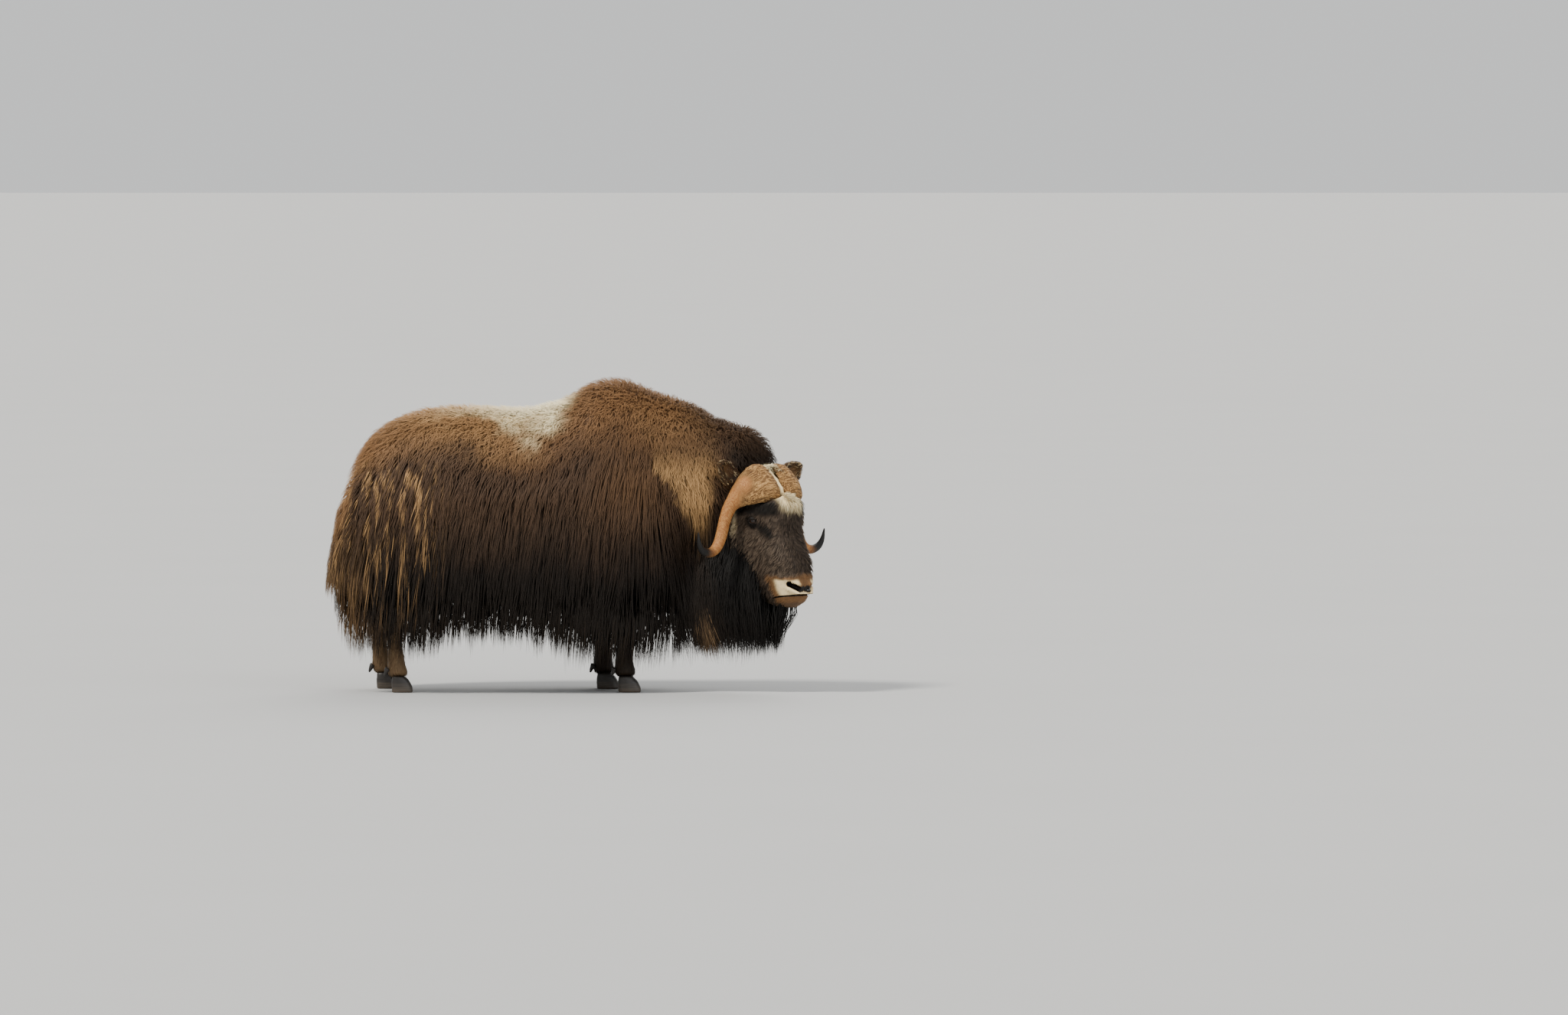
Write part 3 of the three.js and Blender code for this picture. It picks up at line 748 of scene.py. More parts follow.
@dataclass
class Horn:
    """One horn: a broad fibrous boss on the brow that narrows to a shaft with an upturned tip."""

    side: str
    head: HeadPlace
    fine: float = 0.0024
    boss_out: tuple = (0.0, 0.030, 0.070, 0.110, 0.140, 0.165)  # from the middle of the brow
    boss_forward: tuple = (0.138, 0.146, 0.146, 0.136, 0.120, 0.104)
    boss_height: tuple = (0.884, 0.900, 0.904, 0.892, 0.868, 0.842)
    boss_broad: tuple = (0.082, 0.094, 0.096, 0.087, 0.066, 0.034)
    boss_deep: tuple = (0.036, 0.047, 0.051, 0.048, 0.039, 0.022)
    boss_slant: tuple = (0.70, -0.71)
    boss_edge: float = 0.015  # half of the gap between the two bosses
    shaft_path: tuple = (
        (0.112, 0.128, 0.884), (0.090, 0.164, 0.838), (0.072, 0.189, 0.796), (0.062, 0.207, 0.741),
        (0.058, 0.220, 0.688), (0.057, 0.238, 0.644), (0.059, 0.266, 0.615), (0.061, 0.302, 0.606),
        (0.064, 0.338, 0.618), (0.068, 0.360, 0.648), (0.072, 0.369, 0.694),
    )
    shaft_places: tuple = (0.0, 0.13, 0.24, 0.36, 0.48, 0.58, 0.66, 0.74, 0.82, 0.90, 1.0)
    shaft_radius: tuple = (
        0.045, 0.036, 0.0285, 0.0255, 0.0248, 0.0238, 0.0218, 0.0198, 0.0162, 0.0105, 0.0026,
    )
    space: tuple = ((-0.02, -0.01, 0.57), (0.25, 0.39, 1.0))  # round the horn, in the head's directions
    ridge_height: float = 0.0024
    fibre_size: tuple = (0.0026, 0.026, 0.0026)  # down the brow, along the fibre, off the brow
    coarse_fibre: tuple = (2.4, 1.5, 2.4)  # times the fine ones
    growth_rings: float = 34.0
    noise: Noise = field(default_factory=lambda: Noise(SEED + 1))

    def curve(self) -> Array:
        """The shaft's middle line as evenly spaced points."""
        path = np.array(self.shaft_path)
        path = np.vstack([2 * path[0] - path[1], path, 2 * path[-1] - path[-2]])
        points = []
        for a, b, c, d in zip(path, path[1:], path[2:], path[3:]):
            for t in np.linspace(0.0, 1.0, 10, endpoint=False):
                points.append(0.5 * (2 * b + (c - a) * t + (2 * a - 5 * b + 4 * c - d) * t**2
                                     + (3 * b - a - 3 * c + d) * t**3))
        points = np.array(points + [path[-2]])
        length = np.concatenate([[0.0], np.cumsum(np.linalg.norm(np.diff(points, axis=0), axis=1))])
        even = np.linspace(0.0, length[-1], 48)
        return np.stack([np.interp(even, length, points[:, axis]) for axis in range(3)], axis=1)

    def boss(self, local: Array) -> tuple[Array, Array]:
        """Distance from the boss, and each place as (up and down the brow, out to the side, off the brow)."""
        out = local[:, 1]
        forward, height, broad, deep = [
            np.interp(out, *smooth_table(self.boss_out, values))
            for values in (self.boss_forward, self.boss_height, self.boss_broad, self.boss_deep)
        ]
        ahead, over = local[:, 0] - forward, local[:, 2] - height
        down = ahead * self.boss_slant[0] + over * self.boss_slant[1]
        off = -ahead * self.boss_slant[1] + over * self.boss_slant[0]
        ring = ((np.abs(down) / broad) ** 2.4 + (np.abs(off) / deep) ** 2.4) ** (1 / 2.4)
        section = (ring - 1.0) * np.minimum(broad, deep)
        inner = carve(section, out - self.boss_edge, 0.022)
        distance = carve(inner, self.boss_out[-1] - out, 0.020)
        return distance, np.stack([down, out, off], axis=1)

    def shaft(self, local: Array) -> tuple[Array, Array]:
        """Distance from the shaft, and the share of the way to its tip."""
        curve = self.curve()
        places = np.linspace(0.0, 1.0, len(curve))
        radius = np.interp(places, *smooth_table(self.shaft_places, self.shaft_radius))
        radius[-1] = self.shaft_radius[-1]
        best, along = np.full(len(local), 9.0), np.zeros(len(local))
        for i, (start, end) in enumerate(zip(curve, curve[1:])):
            distance, share = to_segment(local, start, end)
            distance = distance - (radius[i] + share * (radius[i + 1] - radius[i]))
            closer = distance < best
            best = np.where(closer, distance, best)
            along = np.where(closer, (i + share) / (len(curve) - 1), along)
        return best, along

    def distance(self, local: Array) -> Array:
        """Distance from the whole horn, for points in the head's directions with this side as positive."""
        return blend_least(self.boss(local)[0], self.shaft(local)[0], 0.036)

    def covers(self, points: Array) -> Array:
        """Distance from this horn for points in the frame."""
        local = self.head.local(points) * np.array([1.0, SIDES[self.side], 1.0])
        near = (local[:, 1] > -0.02) & (local[:, 2] > 0.55) & (local[:, 0] > -0.05)
        value = np.full(len(points), 1.0)
        if near.any():
            value[near] = self.distance(local[near])
        return value

    def build(self) -> Object:
        """Makes the horn's mesh, with fibrous ridges over the boss that fade along the shaft."""
        low, high = corners_of(self.space)
        shape = np.ceil((high - low) / self.fine).astype(int) + 1
        values = self.distance(low + self.fine * grid_places(shape).reshape(-1, 3)).reshape(shape)
        points, quads = surface_nets(values, low, self.fine)
        mesh = bpy.data.meshes.new(f"horn_{self.side}_sheath")
        mesh.from_pydata(points.tolist(), [], quads.tolist())
        keep_largest(mesh)
        settle(mesh, self.distance, 0.0015)
        self.dress(mesh)
        points = vertices_of(mesh) * np.array([1.0, SIDES[self.side], 1.0])
        mesh.vertices.foreach_set("co", self.head.world(points).ravel())
        if self.side == "right":
            mesh.flip_normals()
        mesh.shade_smooth()
        return link(mesh, f"horn_{self.side}")

    def dress(self, mesh: Mesh) -> None:
        """Raises the ridges, and stores the way along the horn and along its fibres for the material."""
        points = vertices_of(mesh)
        boss, place = self.boss(points)
        shaft, along = self.shaft(points)
        on_shaft = ease(boss - shaft, -0.012, 0.022)
        wander = 0.008 * self.noise.at(place, 0.035) + 0.0025 * self.noise.at(place + 3.0, 0.012)
        fibre = (place + wander[:, None]) / np.array(self.fibre_size)
        coarse_fibre = fibre / np.array(self.coarse_fibre) + 7.0
        ridge = 0.55 * self.noise.at(fibre, 1.0) + 0.75 * self.noise.at(coarse_fibre, 1.0)
        rings = self.noise.at(along[:, None] * np.array([self.growth_rings, 0.0, 0.0]), 1.0)
        rise = (1.0 - on_shaft) * ridge + 0.18 * on_shaft * ease(along, 0.75, 0.45) * rings
        out = slope_of(self.distance, points, 0.002)
        points = points + out * (self.ridge_height * rise)[:, None]
        mesh.vertices.foreach_set("co", points.ravel())
        set_numbers(mesh, "along", along * on_shaft)
        set_numbers(mesh, "shaft", on_shaft)
        set_numbers(mesh, "ridge", ridge)
        lengthways = np.stack([fibre[:, 0], place[:, 1] / self.fibre_size[1], fibre[:, 2]], axis=1)
        around = np.stack([points[:, 0] / 0.004, along * 9.0, (points[:, 1] - points[:, 2]) / 0.008], axis=1)
        set_numbers(mesh, "fibre", lengthways + (around - lengthways) * on_shaft[:, None])


def link(mesh: Mesh, replaced: str | None, name: str | None = None) -> Object:
    """Puts a finished mesh into the scene, riding on the body.

    Args:
        mesh: The finished mesh.
        replaced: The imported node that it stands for, or None.
        name: The piece's name, or None for the mesh's own.

    Returns:
        The new piece.
    """
    piece = in_scene(name or mesh.name, mesh)
    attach(piece, "root")
    if replaced:
        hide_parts(replaced)
    log.info("%s: %d faces", piece.name, len(mesh.polygons))
    return piece


@dataclass
class Eye:
    """An eyeball with a bulging cornea, which looks out to the side and a little ahead."""

    side: str
    head: HeadPlace
    skin: Skin
    cornea_rise: float = 0.0016
    cornea_angle: float = 0.62  # radians from the middle of the gaze
    rings: int = 40
    spokes: int = 48

    def build(self) -> Object:
        """Turns the eye's outline about the line of its gaze."""
        turns = np.linspace(0.0, 2 * math.pi, self.spokes, endpoint=False)
        angles = np.linspace(0.0, math.pi, self.rings + 2)[1:-1]
        bulge = self.cornea_rise * ease(angles, self.cornea_angle, 0.15)
        reach = self.skin.eye_radius + bulge
        out = np.outer(reach * np.cos(angles), np.ones(self.spokes))
        wide = np.outer(reach * np.sin(angles), np.cos(turns))
        high = np.outer(reach * np.sin(angles), np.sin(turns))
        rows = np.stack([out, wide, high], -1).reshape(-1, 3)
        ends = [[reach[0] / math.cos(angles[0]), 0.0, 0.0], [-self.skin.eye_radius, 0.0, 0.0]]
        rows = np.vstack([rows, ends])
        gaze = unit(np.array(self.skin.gaze))
        across = unit(np.cross(gaze, [0.0, 0.0, 1.0]))
        over = np.cross(across, gaze)
        local = np.array(self.skin.eye_centre) + rows @ np.stack([gaze, across, over])
        local[:, 1] *= SIDES[self.side]
        faces = [
            (r * self.spokes + s, (r + 1) * self.spokes + s, (r + 1) * self.spokes + (s + 1) % self.spokes,
             r * self.spokes + (s + 1) % self.spokes)
            for r in range(self.rings - 1) for s in range(self.spokes)
        ]
        front, back, last = len(rows) - 2, len(rows) - 1, (self.rings - 1) * self.spokes
        faces += [(front, s, (s + 1) % self.spokes) for s in range(self.spokes)]
        faces += [(last + s, back, last + (s + 1) % self.spokes) for s in range(self.spokes)]
        mesh = bpy.data.meshes.new(f"eyeball_{self.side}")
        mesh.from_pydata(self.head.world(local).tolist(), [], faces)
        face_out(mesh)
        set_numbers(mesh, "gaze", rows / self.skin.eye_radius)
        mesh.shade_smooth()
        return link(mesh, f"eye_{self.side}")


def face_out(mesh: Mesh) -> None:
    """Makes every face of a closed mesh point out."""
    build = bmesh.new()
    build.from_mesh(mesh)
    bmesh.ops.recalc_face_normals(build, faces=build.faces)
    build.to_mesh(mesh)
    build.free()


@dataclass
class Hooves:
    """The cloven hooves and dewclaws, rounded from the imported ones."""

    voxel: float = 0.0035
    rounding: int = 14
    groove: float = 0.0008
    noise: Noise = field(default_factory=lambda: Noise(SEED + 2))

    def build(self) -> list[Object]:
        """Makes one piece for each packed hoof and dewclaw."""
        return [self.one(name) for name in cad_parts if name.startswith(("hoof_", "dewclaw_"))]

    def one(self, name: str) -> Object:
        """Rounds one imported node, keeps its sole flat and runs fine growth rings round its wall."""
        mesh = join_nodes([name], self.voxel).data
        build = bmesh.new()
        build.from_mesh(mesh)
        for _ in range(self.rounding):
            bmesh.ops.smooth_vert(build, verts=build.verts, factor=0.5, use_axis_x=True, use_axis_y=True,
                                  use_axis_z=True)
        build.to_mesh(mesh)
        build.free()
        points = vertices_of(mesh)
        low, high = corners_of(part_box(name))
        above = points[:, 2] - points[:, 2].min()
        points[:, 2] = low[2] + above * (high[2] - low[2]) / np.ptp(points[:, 2])
        middle = (points.max(0) + points.min(0)) / 2
        away = unit((points - middle) * np.array([1.0, 1.0, 0.0]))
        rings = self.noise.at(points * np.array([0.2, 0.2, 1.0]), 0.006)
        points += away * (self.groove * rings * ease(points[:, 2] - low[2], 0.002, 0.012))[:, None]
        mesh.vertices.foreach_set("co", points.ravel())
        mesh.name = f"{name}_wall"
        mesh.shade_smooth()
        return link(mesh, name)


# Markings, with some painted shade, which skin and coat share


class Shade(Enum):
    """The colours of the coat, each laid over the ones before it."""

    RUST = "rust"
    GOLD = "gold"
    DARK = "dark"
    GREY = "grey"
    TAN = "tan"
    PALE = "pale"
    BARE = "bare"


@dataclass
class Markings:
    """Says how much of each shade lies at any place on the animal, painted shade behind the horn, on the face
    and on the fore legs included.
    """

    head: HeadPlace
    skin: Skin
    noise: Noise = field(default_factory=lambda: Noise(SEED + 3))
    ridge_step: float = 0.05
    saddle_front: tuple = (0.08, -0.08)  # each pair is where a marking starts and where it is full
    saddle_rear: tuple = (-0.70, -0.12)
    saddle_places: tuple = (-0.60, -0.40, -0.22, -0.08)
    saddle_depths: tuple = (0.03, 0.05, 0.12, 0.17)
    rust_depth: float = 0.36  # below the ridge of the back
    rust_end: tuple = (0.38, 0.62)
    cape_edge: tuple = (0.345, 0.58, 1.02)  # its rear edge: its place, its slant, and at which height
    cape_front: tuple = (0.63, 0.54)
    cape_foot: tuple = (0.66, 0.76)
    cape_top: tuple = (1.08, 0.92)
    streaks_front: tuple = (-0.50, -0.65)
    streaks_top: tuple = (1.04, 0.96)
    streaks_foot: tuple = (0.30, 0.60)
    streak_size: float = 0.011
    rear_start: tuple = (-0.80, -0.94)
    hem_top: tuple = (0.46, 0.30)
    skirt_top: tuple = (0.88, 0.55)
    skirt_dark: float = 0.94
    chest_rear: tuple = (0.40, 0.56)
    chest_top: tuple = (0.86, 0.66)
    clump_middle: float = 0.553  # the loose underwool on the right of the chest
    clump_reach: float = 0.045
    strip_foot: tuple = (0.765, 0.815)  # on the head, in its own directions
    muzzle_rear: tuple = (0.234, 0.272)
    muzzle_top: tuple = (0.500, 0.484)
    rim_rear: tuple = (0.200, 0.226)
    rim_top: tuple = (0.524, 0.500)
    beard_top: tuple = (0.62, 0.44)
    beard_front: tuple = (0.24, 0.16)
    eye_ring: tuple = (0.052, 0.028)
    nose_pad: tuple = ((0.352, 0.0, 0.446), (0.312, 0.060, 0.474))
    gland_line: tuple = ((0.18, 0.11, 0.725), (0.23, 0.10, 0.685))

    def measure_ridge(self, points: Array) -> None:
        """Finds the height of the back along the animal from the skin's vertices."""
        start, end = points[:, 0].min(), points[:, 0].max()
        self.ridge_places = np.arange(start, end, self.ridge_step)
        self.ridge_heights = np.array([
            points[np.abs(points[:, 0] - x) < self.ridge_step, 2].max() for x in self.ridge_places
        ]) + self.skin.trunk_depth

    def at(self, points: Array, part: Array, tone: Array) -> dict[str, Array]:
        """Works out every shade.

        Args:
            points: Places on the skin or in the coat.
            part: What the skin below belongs to, as a value of Part.
            tone: A number from 0 to 1 for each tuft or patch, which picks out single locks.

        Returns:
            The amount of each shade from 0 to 1, by its name.
        """
        amounts = {shade.value: np.zeros(len(points)) for shade in Shade}
        wander = 0.035 * self.noise.at(points, 0.09) + 0.02 * self.noise.at(points, 0.03)
        for kind, paint in (
            (Part.TRUNK, self.trunk), (Part.HEAD, self.face), (Part.EAR, self.ears), (Part.LEG, self.legs),
            (Part.TAIL, self.trunk),
        ):
            here = part == kind.value
            if here.any():
                for name, values in paint(points[here], tone[here], wander[here]).items():
                    amounts[name][here] = np.clip(values, 0.0, 1.0)
        return amounts

    def trunk(self, points: Array, tone: Array, wander: Array) -> dict[str, Array]:
        """The saddle, the rusty back, the golden cape and rump streaks, the black skirts and chest, and a
        painted shadow behind the horn.
        """
        x, y, z = points.T
        below = np.interp(x, self.ridge_places, self.ridge_heights) - z + wander
        front = ease(x + wander + 0.5 * below, *self.saddle_front)
        depth = np.interp(x, self.saddle_places, self.saddle_depths)
        pale = front * ease(x + wander, *self.saddle_rear) * ease(below + wander, 1.5 * depth, 0.1 * depth)
        warm = 0.5 * ease(below, 0.07, 0.02) + 0.35 * ease(below, 0.28, 0.06)
        warm = front * ease(x, -0.95, -0.40) * warm
        reach = self.rust_depth - 0.12 * ease(x, -0.15, -0.45)
        rust = ease(below, reach, 0.10) + 0.4 * bump(x, 0.26, 0.26) * bump(below, 0.42, 0.24)
        rust = rust * (1.0 - 0.9 * ease(x, *self.rust_end))
        place, slant, height = self.cape_edge
        edge = x - (place + slant * (height - z)) + 1.2 * wander
        cape = ease(edge, -0.015, 0.035) * ease(x + wander, *self.cape_front) * ease(z, *self.cape_foot)
        cape *= 0.1 * ease(z, 1.30, 1.12) + 0.9 * ease(z, *self.cape_top)
        streaks = ease(x, *self.streaks_front) * ease(z, *self.streaks_top) * ease(z, *self.streaks_foot)
        lock = self.noise.at(points * [1, 1, 0.05], self.streak_size) + 0.15 * (tone > 0.5)
        streaks = 0.85 * streaks * ease(lock, 0.30, 0.5) * (0.6 + 0.4 * tone)
        behind = ease(x + wander, *self.rear_start) * ease(z, 0.80, 0.50)
        rear = behind * (0.15 + 0.35 * (tone > 0.6))
        hem = ease(z, *self.hem_top) * (tone > 0.72) * 0.5 * ease(x, 0.45, 0.2)
        gold = np.maximum.reduce([cape * (0.75 + 0.25 * tone), streaks, rear, hem, warm])
        low = ease(z + wander, *self.skirt_top) * self.skirt_dark
        chest = ease(x - 0.35 * (0.75 - z) + wander, *self.chest_rear) * ease(z, *self.chest_top)
        # painted shadow: darkens the neck in front of the cape and behind the horn, where shade falls
        painted_shadow_behind_horn = ease(edge, 0.22, 0.34) * ease(z, 1.15, 1.0) * 0.8
        dark = np.maximum.reduce([low, chest, painted_shadow_behind_horn]) * (1.0 - 0.8 * cape)
        clump = bump(x, self.clump_middle, self.clump_reach) * ease(y, -0.10, -0.16) * ease(z, 0.20, 0.26)
        clump = clump * ease(z, 0.46, 0.38) * (0.4 + 0.6 * (tone > 0.4))
        dark = dark * (1.0 - 0.85 * streaks) * (1.0 - clump) * (1.0 - 0.45 * behind)
        pale = np.maximum(pale, 0.08 * clump)
        return {"pale": pale, "rust": rust, "gold": gold, "dark": dark, "tan": 0.5 * clump}

    def face(self, points: Array, tone: Array, wander: Array) -> dict[str, Array]:
        """Dark grey-brown, with a pale strip down the brow and a pale muzzle with a tan rim, and painted
        shade over the front of the face.
        """
        both = self.head.folded(points)
        forward, out, up = both.T
        wander = wander * 0.4
        half_strip = 0.016 + 0.036 * ease(up, 0.885, 0.835)
        strip = ease(out + 0.5 * wander, half_strip * 1.35, half_strip * 0.7)
        strip = strip * ease(up + wander, *self.strip_foot) * ease(forward, 0.02, 0.08)
        poll = ease(up, 0.90, 0.94) * ease(out, 0.085, 0.05) * ease(forward, 0.20, 0.13)
        line = self.skin.mouth_corner[1] + (forward - self.skin.mouth_corner[0]) * self.skin.mouth_rise
        muzzle = ease(forward + 0.3 * (up - 0.45) + 0.6 * wander, *self.muzzle_rear)
        muzzle = muzzle * ease(up + 0.6 * wander, *self.muzzle_top)
        nose = ease(out, 0.044, 0.026) * ease(up, 0.44, 0.46)
        lip = muzzle * ease(up - line, -0.001, 0.006) * (1.0 - nose)
        rim = ease(forward + 0.3 * (up - 0.45) + wander, *self.rim_rear)
        rim = rim * ease(up + wander, *self.rim_top) * ease(up, 0.375, 0.40)
        chin = ease(line - up, 0.0, 0.006) * ease(up, 0.366, 0.378) * ease(forward, 0.20, 0.235)
        pad, _ = to_segment(both, *self.nose_pad)
        passage, _ = to_segment(both, *self.skin.nostril_passage)
        bare = ease(pad, 0.018, 0.011) + ease(passage, 0.018, 0.014)
        bare = bare + ease(np.abs(up - line), 0.005, 0.002) * ease(forward, 0.20, 0.21)
        eye = ease(self.skin.from_eye(both), *self.eye_ring)
        beard = ease(up + wander, *self.beard_top) * ease(forward, *self.beard_front)
        brow = ease(up, 0.755, 0.780) * ease(up, 0.84, 0.815) * ease(out, 0.05, 0.08)
        gland, _ = to_segment(both, *self.gland_line)
        dark = np.maximum.reduce([eye, beard * 0.85, brow, ease(gland, 0.030, 0.012)])
        temple = ease(forward, 0.052, 0.03) * ease(up, 0.66, 0.72) * ease(up, 0.83, 0.80)
        # painted shade: the front of the face between the eyes and the muzzle is darkened as if it faced away
        # from the light
        front = ease(out, 0.085, 0.04) * ease(up, 0.50, 0.54) * ease(up, 0.80, 0.76)
        dark = np.maximum(dark, front * (0.50 + 0.3 * (tone < 0.5)))
        grey = (0.45 + 0.55 * tone) * (1.0 - 0.9 * dark)
        cream = lip * (1.0 - bare) * (0.70 + 0.25 * tone)
        pale = np.maximum.reduce([strip * 0.92, poll, cream, 0.25 * temple * ease(out, 0.08, 0.10)])
        tan = np.maximum(rim * 0.8, chin * 0.42)
        return {"grey": grey, "dark": dark, "pale": pale, "tan": tan, "bare": bare}

    def ears(self, points: Array, tone: Array, wander: Array) -> dict[str, Array]:
        """Brown outside with a tan rim, and dark inside with pale hairs."""
        local = self.head.local(points)
        out = np.abs(local[:, 1])
        inner = ease(local[:, 0], 0.052, 0.062) * ease(out, 0.11, 0.14)
        rim = ease(out, 0.17, 0.22)
        return {
            "rust": 0.6 + 0.4 * rim, "dark": inner * (tone < 0.75) * 0.7,
            "pale": inner * (tone > 0.85) * 0.45, "gold": rim * 0.5 * (tone > 0.4),
        }

    def legs(self, points: Array, tone: Array, wander: Array) -> dict[str, Array]:
        """Pale stockings on the hind legs; the fore legs stay dark with painted shade, paling only at the
        pastern.
        """
        x, _, z = points.T
        hind = ease(x, -0.30, -0.40)
        # the fore legs' stockings are kept dark as painted shade
        stocking = ease(z + wander, 0.40, 0.26) * (0.10 + 0.65 * hind)
        return {
            "dark": 1.0 - 0.9 * stocking * hind - 0.4 * stocking, "tan": stocking * (0.3 + 0.3 * tone),
            "pale": stocking * 0.15 * tone * (0.4 + 0.6 * hind),
        }

    def paint(self, mesh: Mesh, points: Array, part: Array, tone: Array) -> None:
        """Stores the shades on a mesh for the materials."""
        for name, values in self.at(points, part, tone).items():
            set_numbers(mesh, name, values)


# The coat


class Hair(Enum):
    """The kinds of hair, each made as its own pieces."""

    WOOL = ("wool", "coat", 0.80, 0.75)
    GUARD = ("guard", "coat", 0.68, 0.48)
    MANE = ("mane", "mane", 0.5, 0.3)
    FACE = ("face", "face", 0.5, 0.0)
    EAR = ("ear", "face", 0.5, 0.0)
    LEG = ("leg", "stocking", 0.5, 0.0)

    def __init__(self, title: str, slot: str, softness: float, evenness: float) -> None:
        """Sets what differs between the kinds.

        Args:
            title: Ends the names of its pieces.
            slot: The name of a material slot; not used.
            softness: How far a tuft is lit as the coat's surface is, from 0 to 1.
            evenness: How far its tufts share one tone from root to tip.
        """
        self.title, self.slot, self.softness, self.evenness = title, slot, softness, evenness


@dataclass
class Roots:
    """Where tufts start, and what they start on."""

    points: Array
    normals: Array
    part: Array
    tone: Array

    def __len__(self) -> int:
        """How many tufts there are."""
        return len(self.points)

    def pick(self, chosen: Array) -> "Roots":
        """The chosen tufts only."""
        return Roots(self.points[chosen], self.normals[chosen], self.part[chosen], self.tone[chosen])


@dataclass
class Growth:
    """How tufts grow: an array has one number for each tuft."""

    length: Array
    width: Array
    stray: Array  # sideways turn of its lie
    tip: Array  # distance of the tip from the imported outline
    rise: float  # 1 climbs evenly to the tip, more climbs early
    curl: Array | float  # how far its curls reach
    turns: float  # curls in one tuft
    clump: Array | float  # how far the tip is drawn to its neighbours
    hang: float  # 1 where it hangs free below the body
    rings: int
    guide_share: float = 0.12


@dataclass
class Coat:
    """All the hair: closed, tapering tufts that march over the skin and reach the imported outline."""

    head: HeadPlace
    skin: Skin
    markings: Markings
    horns: list[Horn]
    trunk_count: int = 41800
    mane_count: int = 5000
    face_count: int = 17000
    ear_count: int = 2600
    leg_count: int = 4000
    steps: int = 12
    overshoot: float = 0.002  # how far a tuft may pass the outline on its way
    hem_reach: float = 0.045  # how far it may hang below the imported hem
    lowest_tip: float = 0.045  # above the floor: what would hang lower is cut off
    root_depth: float = 0.004
    patch: float = 0.003  # width of a tuft's place on the baking map
    map_axis_height: float = 0.8  # of the line that the trunk's baking map turns about
    long_from: float = 0.125  # the length from which the trunk's hair counts as guard hair
    fall_places: tuple = (0.0, 0.12, 0.25, 0.40, 0.55, 0.70, 1.0)  # below the ridge of the back
    rump_lengths: tuple = (0.075, 0.10, 0.18, 0.34, 0.56, 0.74, 0.80)
    side_lengths: tuple = (0.065, 0.075, 0.12, 0.24, 0.44, 0.68, 0.80)
    neck_lengths: tuple = (0.065, 0.070, 0.095, 0.14, 0.34, 0.60, 0.75)
    colour_from_root: float = 0.35  # the share of a tuft's markings that its root gives, not its own place
    grain_shift: tuple = (41.0, 13.0, 29.0)  # sets each tuft's strands elsewhere in the noise
    most_triangles: int = 185000
    rng: np.random.Generator = field(default_factory=lambda: np.random.default_rng(SEED))
    noise: Noise = field(default_factory=lambda: Noise(SEED + 4))

    def build(self, skin_mesh: Mesh) -> list[Object]:
        """Grows every kind of hair on the skin.

        Args:
            skin_mesh: The finished skin.

        Returns:
            The coat's pieces.
        """
        self.read_skin(skin_mesh)
        grown = []
        trunk = self.sample(Part.TRUNK, self.trunk_count, self.trunk_density)
        long = self.trunk_length(trunk.points) > self.long_from
        grown += self.pieces(Hair.WOOL, trunk.pick(~long))
        grown += self.pieces(Hair.GUARD, trunk.pick(long))
        grown += self.pieces(Hair.MANE, self.mane_roots())
        grown += self.pieces(Hair.FACE, self.sample(Part.HEAD, self.face_count, self.face_density))
        grown += self.pieces(Hair.EAR, self.sample(Part.EAR, self.ear_count, self.even_density))
        grown += self.pieces(Hair.LEG, self.sample(Part.LEG, self.leg_count, self.leg_density))
        return grown

    def read_skin(self, mesh: Mesh) -> None:
        """Takes the corners, area, normal and part of every triangle of the skin."""
        mesh.calc_loop_triangles()
        corners = np.empty(len(mesh.loop_triangles) * 3, dtype=np.int32)
        mesh.loop_triangles.foreach_get("vertices", corners)
        self.corners = vertices_of(mesh)[corners].reshape(-1, 3, 3)
        cross = np.cross(self.corners[:, 1] - self.corners[:, 0], self.corners[:, 2] - self.corners[:, 0])
        self.areas = np.linalg.norm(cross, axis=1) / 2
        self.normals = unit(cross)
        self.middles = self.corners.mean(1)
        self.part = part_of(self.skin, self.middles)
        covered = np.minimum(*[horn.covers(self.middles) for horn in self.horns])
        self.areas[covered < 0.0] = 0.0

    def sample(self, part: Part, count: int, density: Callable) -> Roots:
        """Scatters roots over one part of the skin.

        Args:
            part: The part to scatter them on.
            count: How many tufts to start.
            density: Gives the tufts wanted for each unit of area, at any points.

        Returns:
            The roots.
        """
        here = np.flatnonzero((self.part == part.value) & (self.areas > 0.0))
        weight = self.areas[here] * density(self.middles[here], self.normals[here])
        count = count
        chosen = here[self.rng.choice(len(here), size=count, p=weight / weight.sum())]
        a, b = self.rng.random((2, count))
        fold = a + b > 1.0
        a, b = np.where(fold, 1 - a, a), np.where(fold, 1 - b, b)
        edges = self.corners[chosen]
        points = edges[:, 0] + a[:, None] * (edges[:, 1] - edges[:, 0])
        points = points + b[:, None] * (edges[:, 2] - edges[:, 0])
        return Roots(points, self.normals[chosen], self.part[chosen], self.rng.random(count))

    def trunk_density(self, points: Array, normals: Array) -> Array:
        """Thickest over the back, where the wool is short, and thin under the belly."""
        density = 1.0 / (0.045 + self.trunk_length(points)) ** 0.8
        density = density * (1.0 + 0.4 * ease(points[:, 0], 0.25, 0.4))
        density = density * (1.0 + 1.4 * ease(points[:, 2], 0.74, 0.60))
        hidden = ease(normals[:, 2], -0.5, -0.8)
        inside_head = ease(self.skin.skull.at(points), 0.0, -0.03)
        return density * (1.0 - 0.85 * hidden) * (1.0 - inside_head)

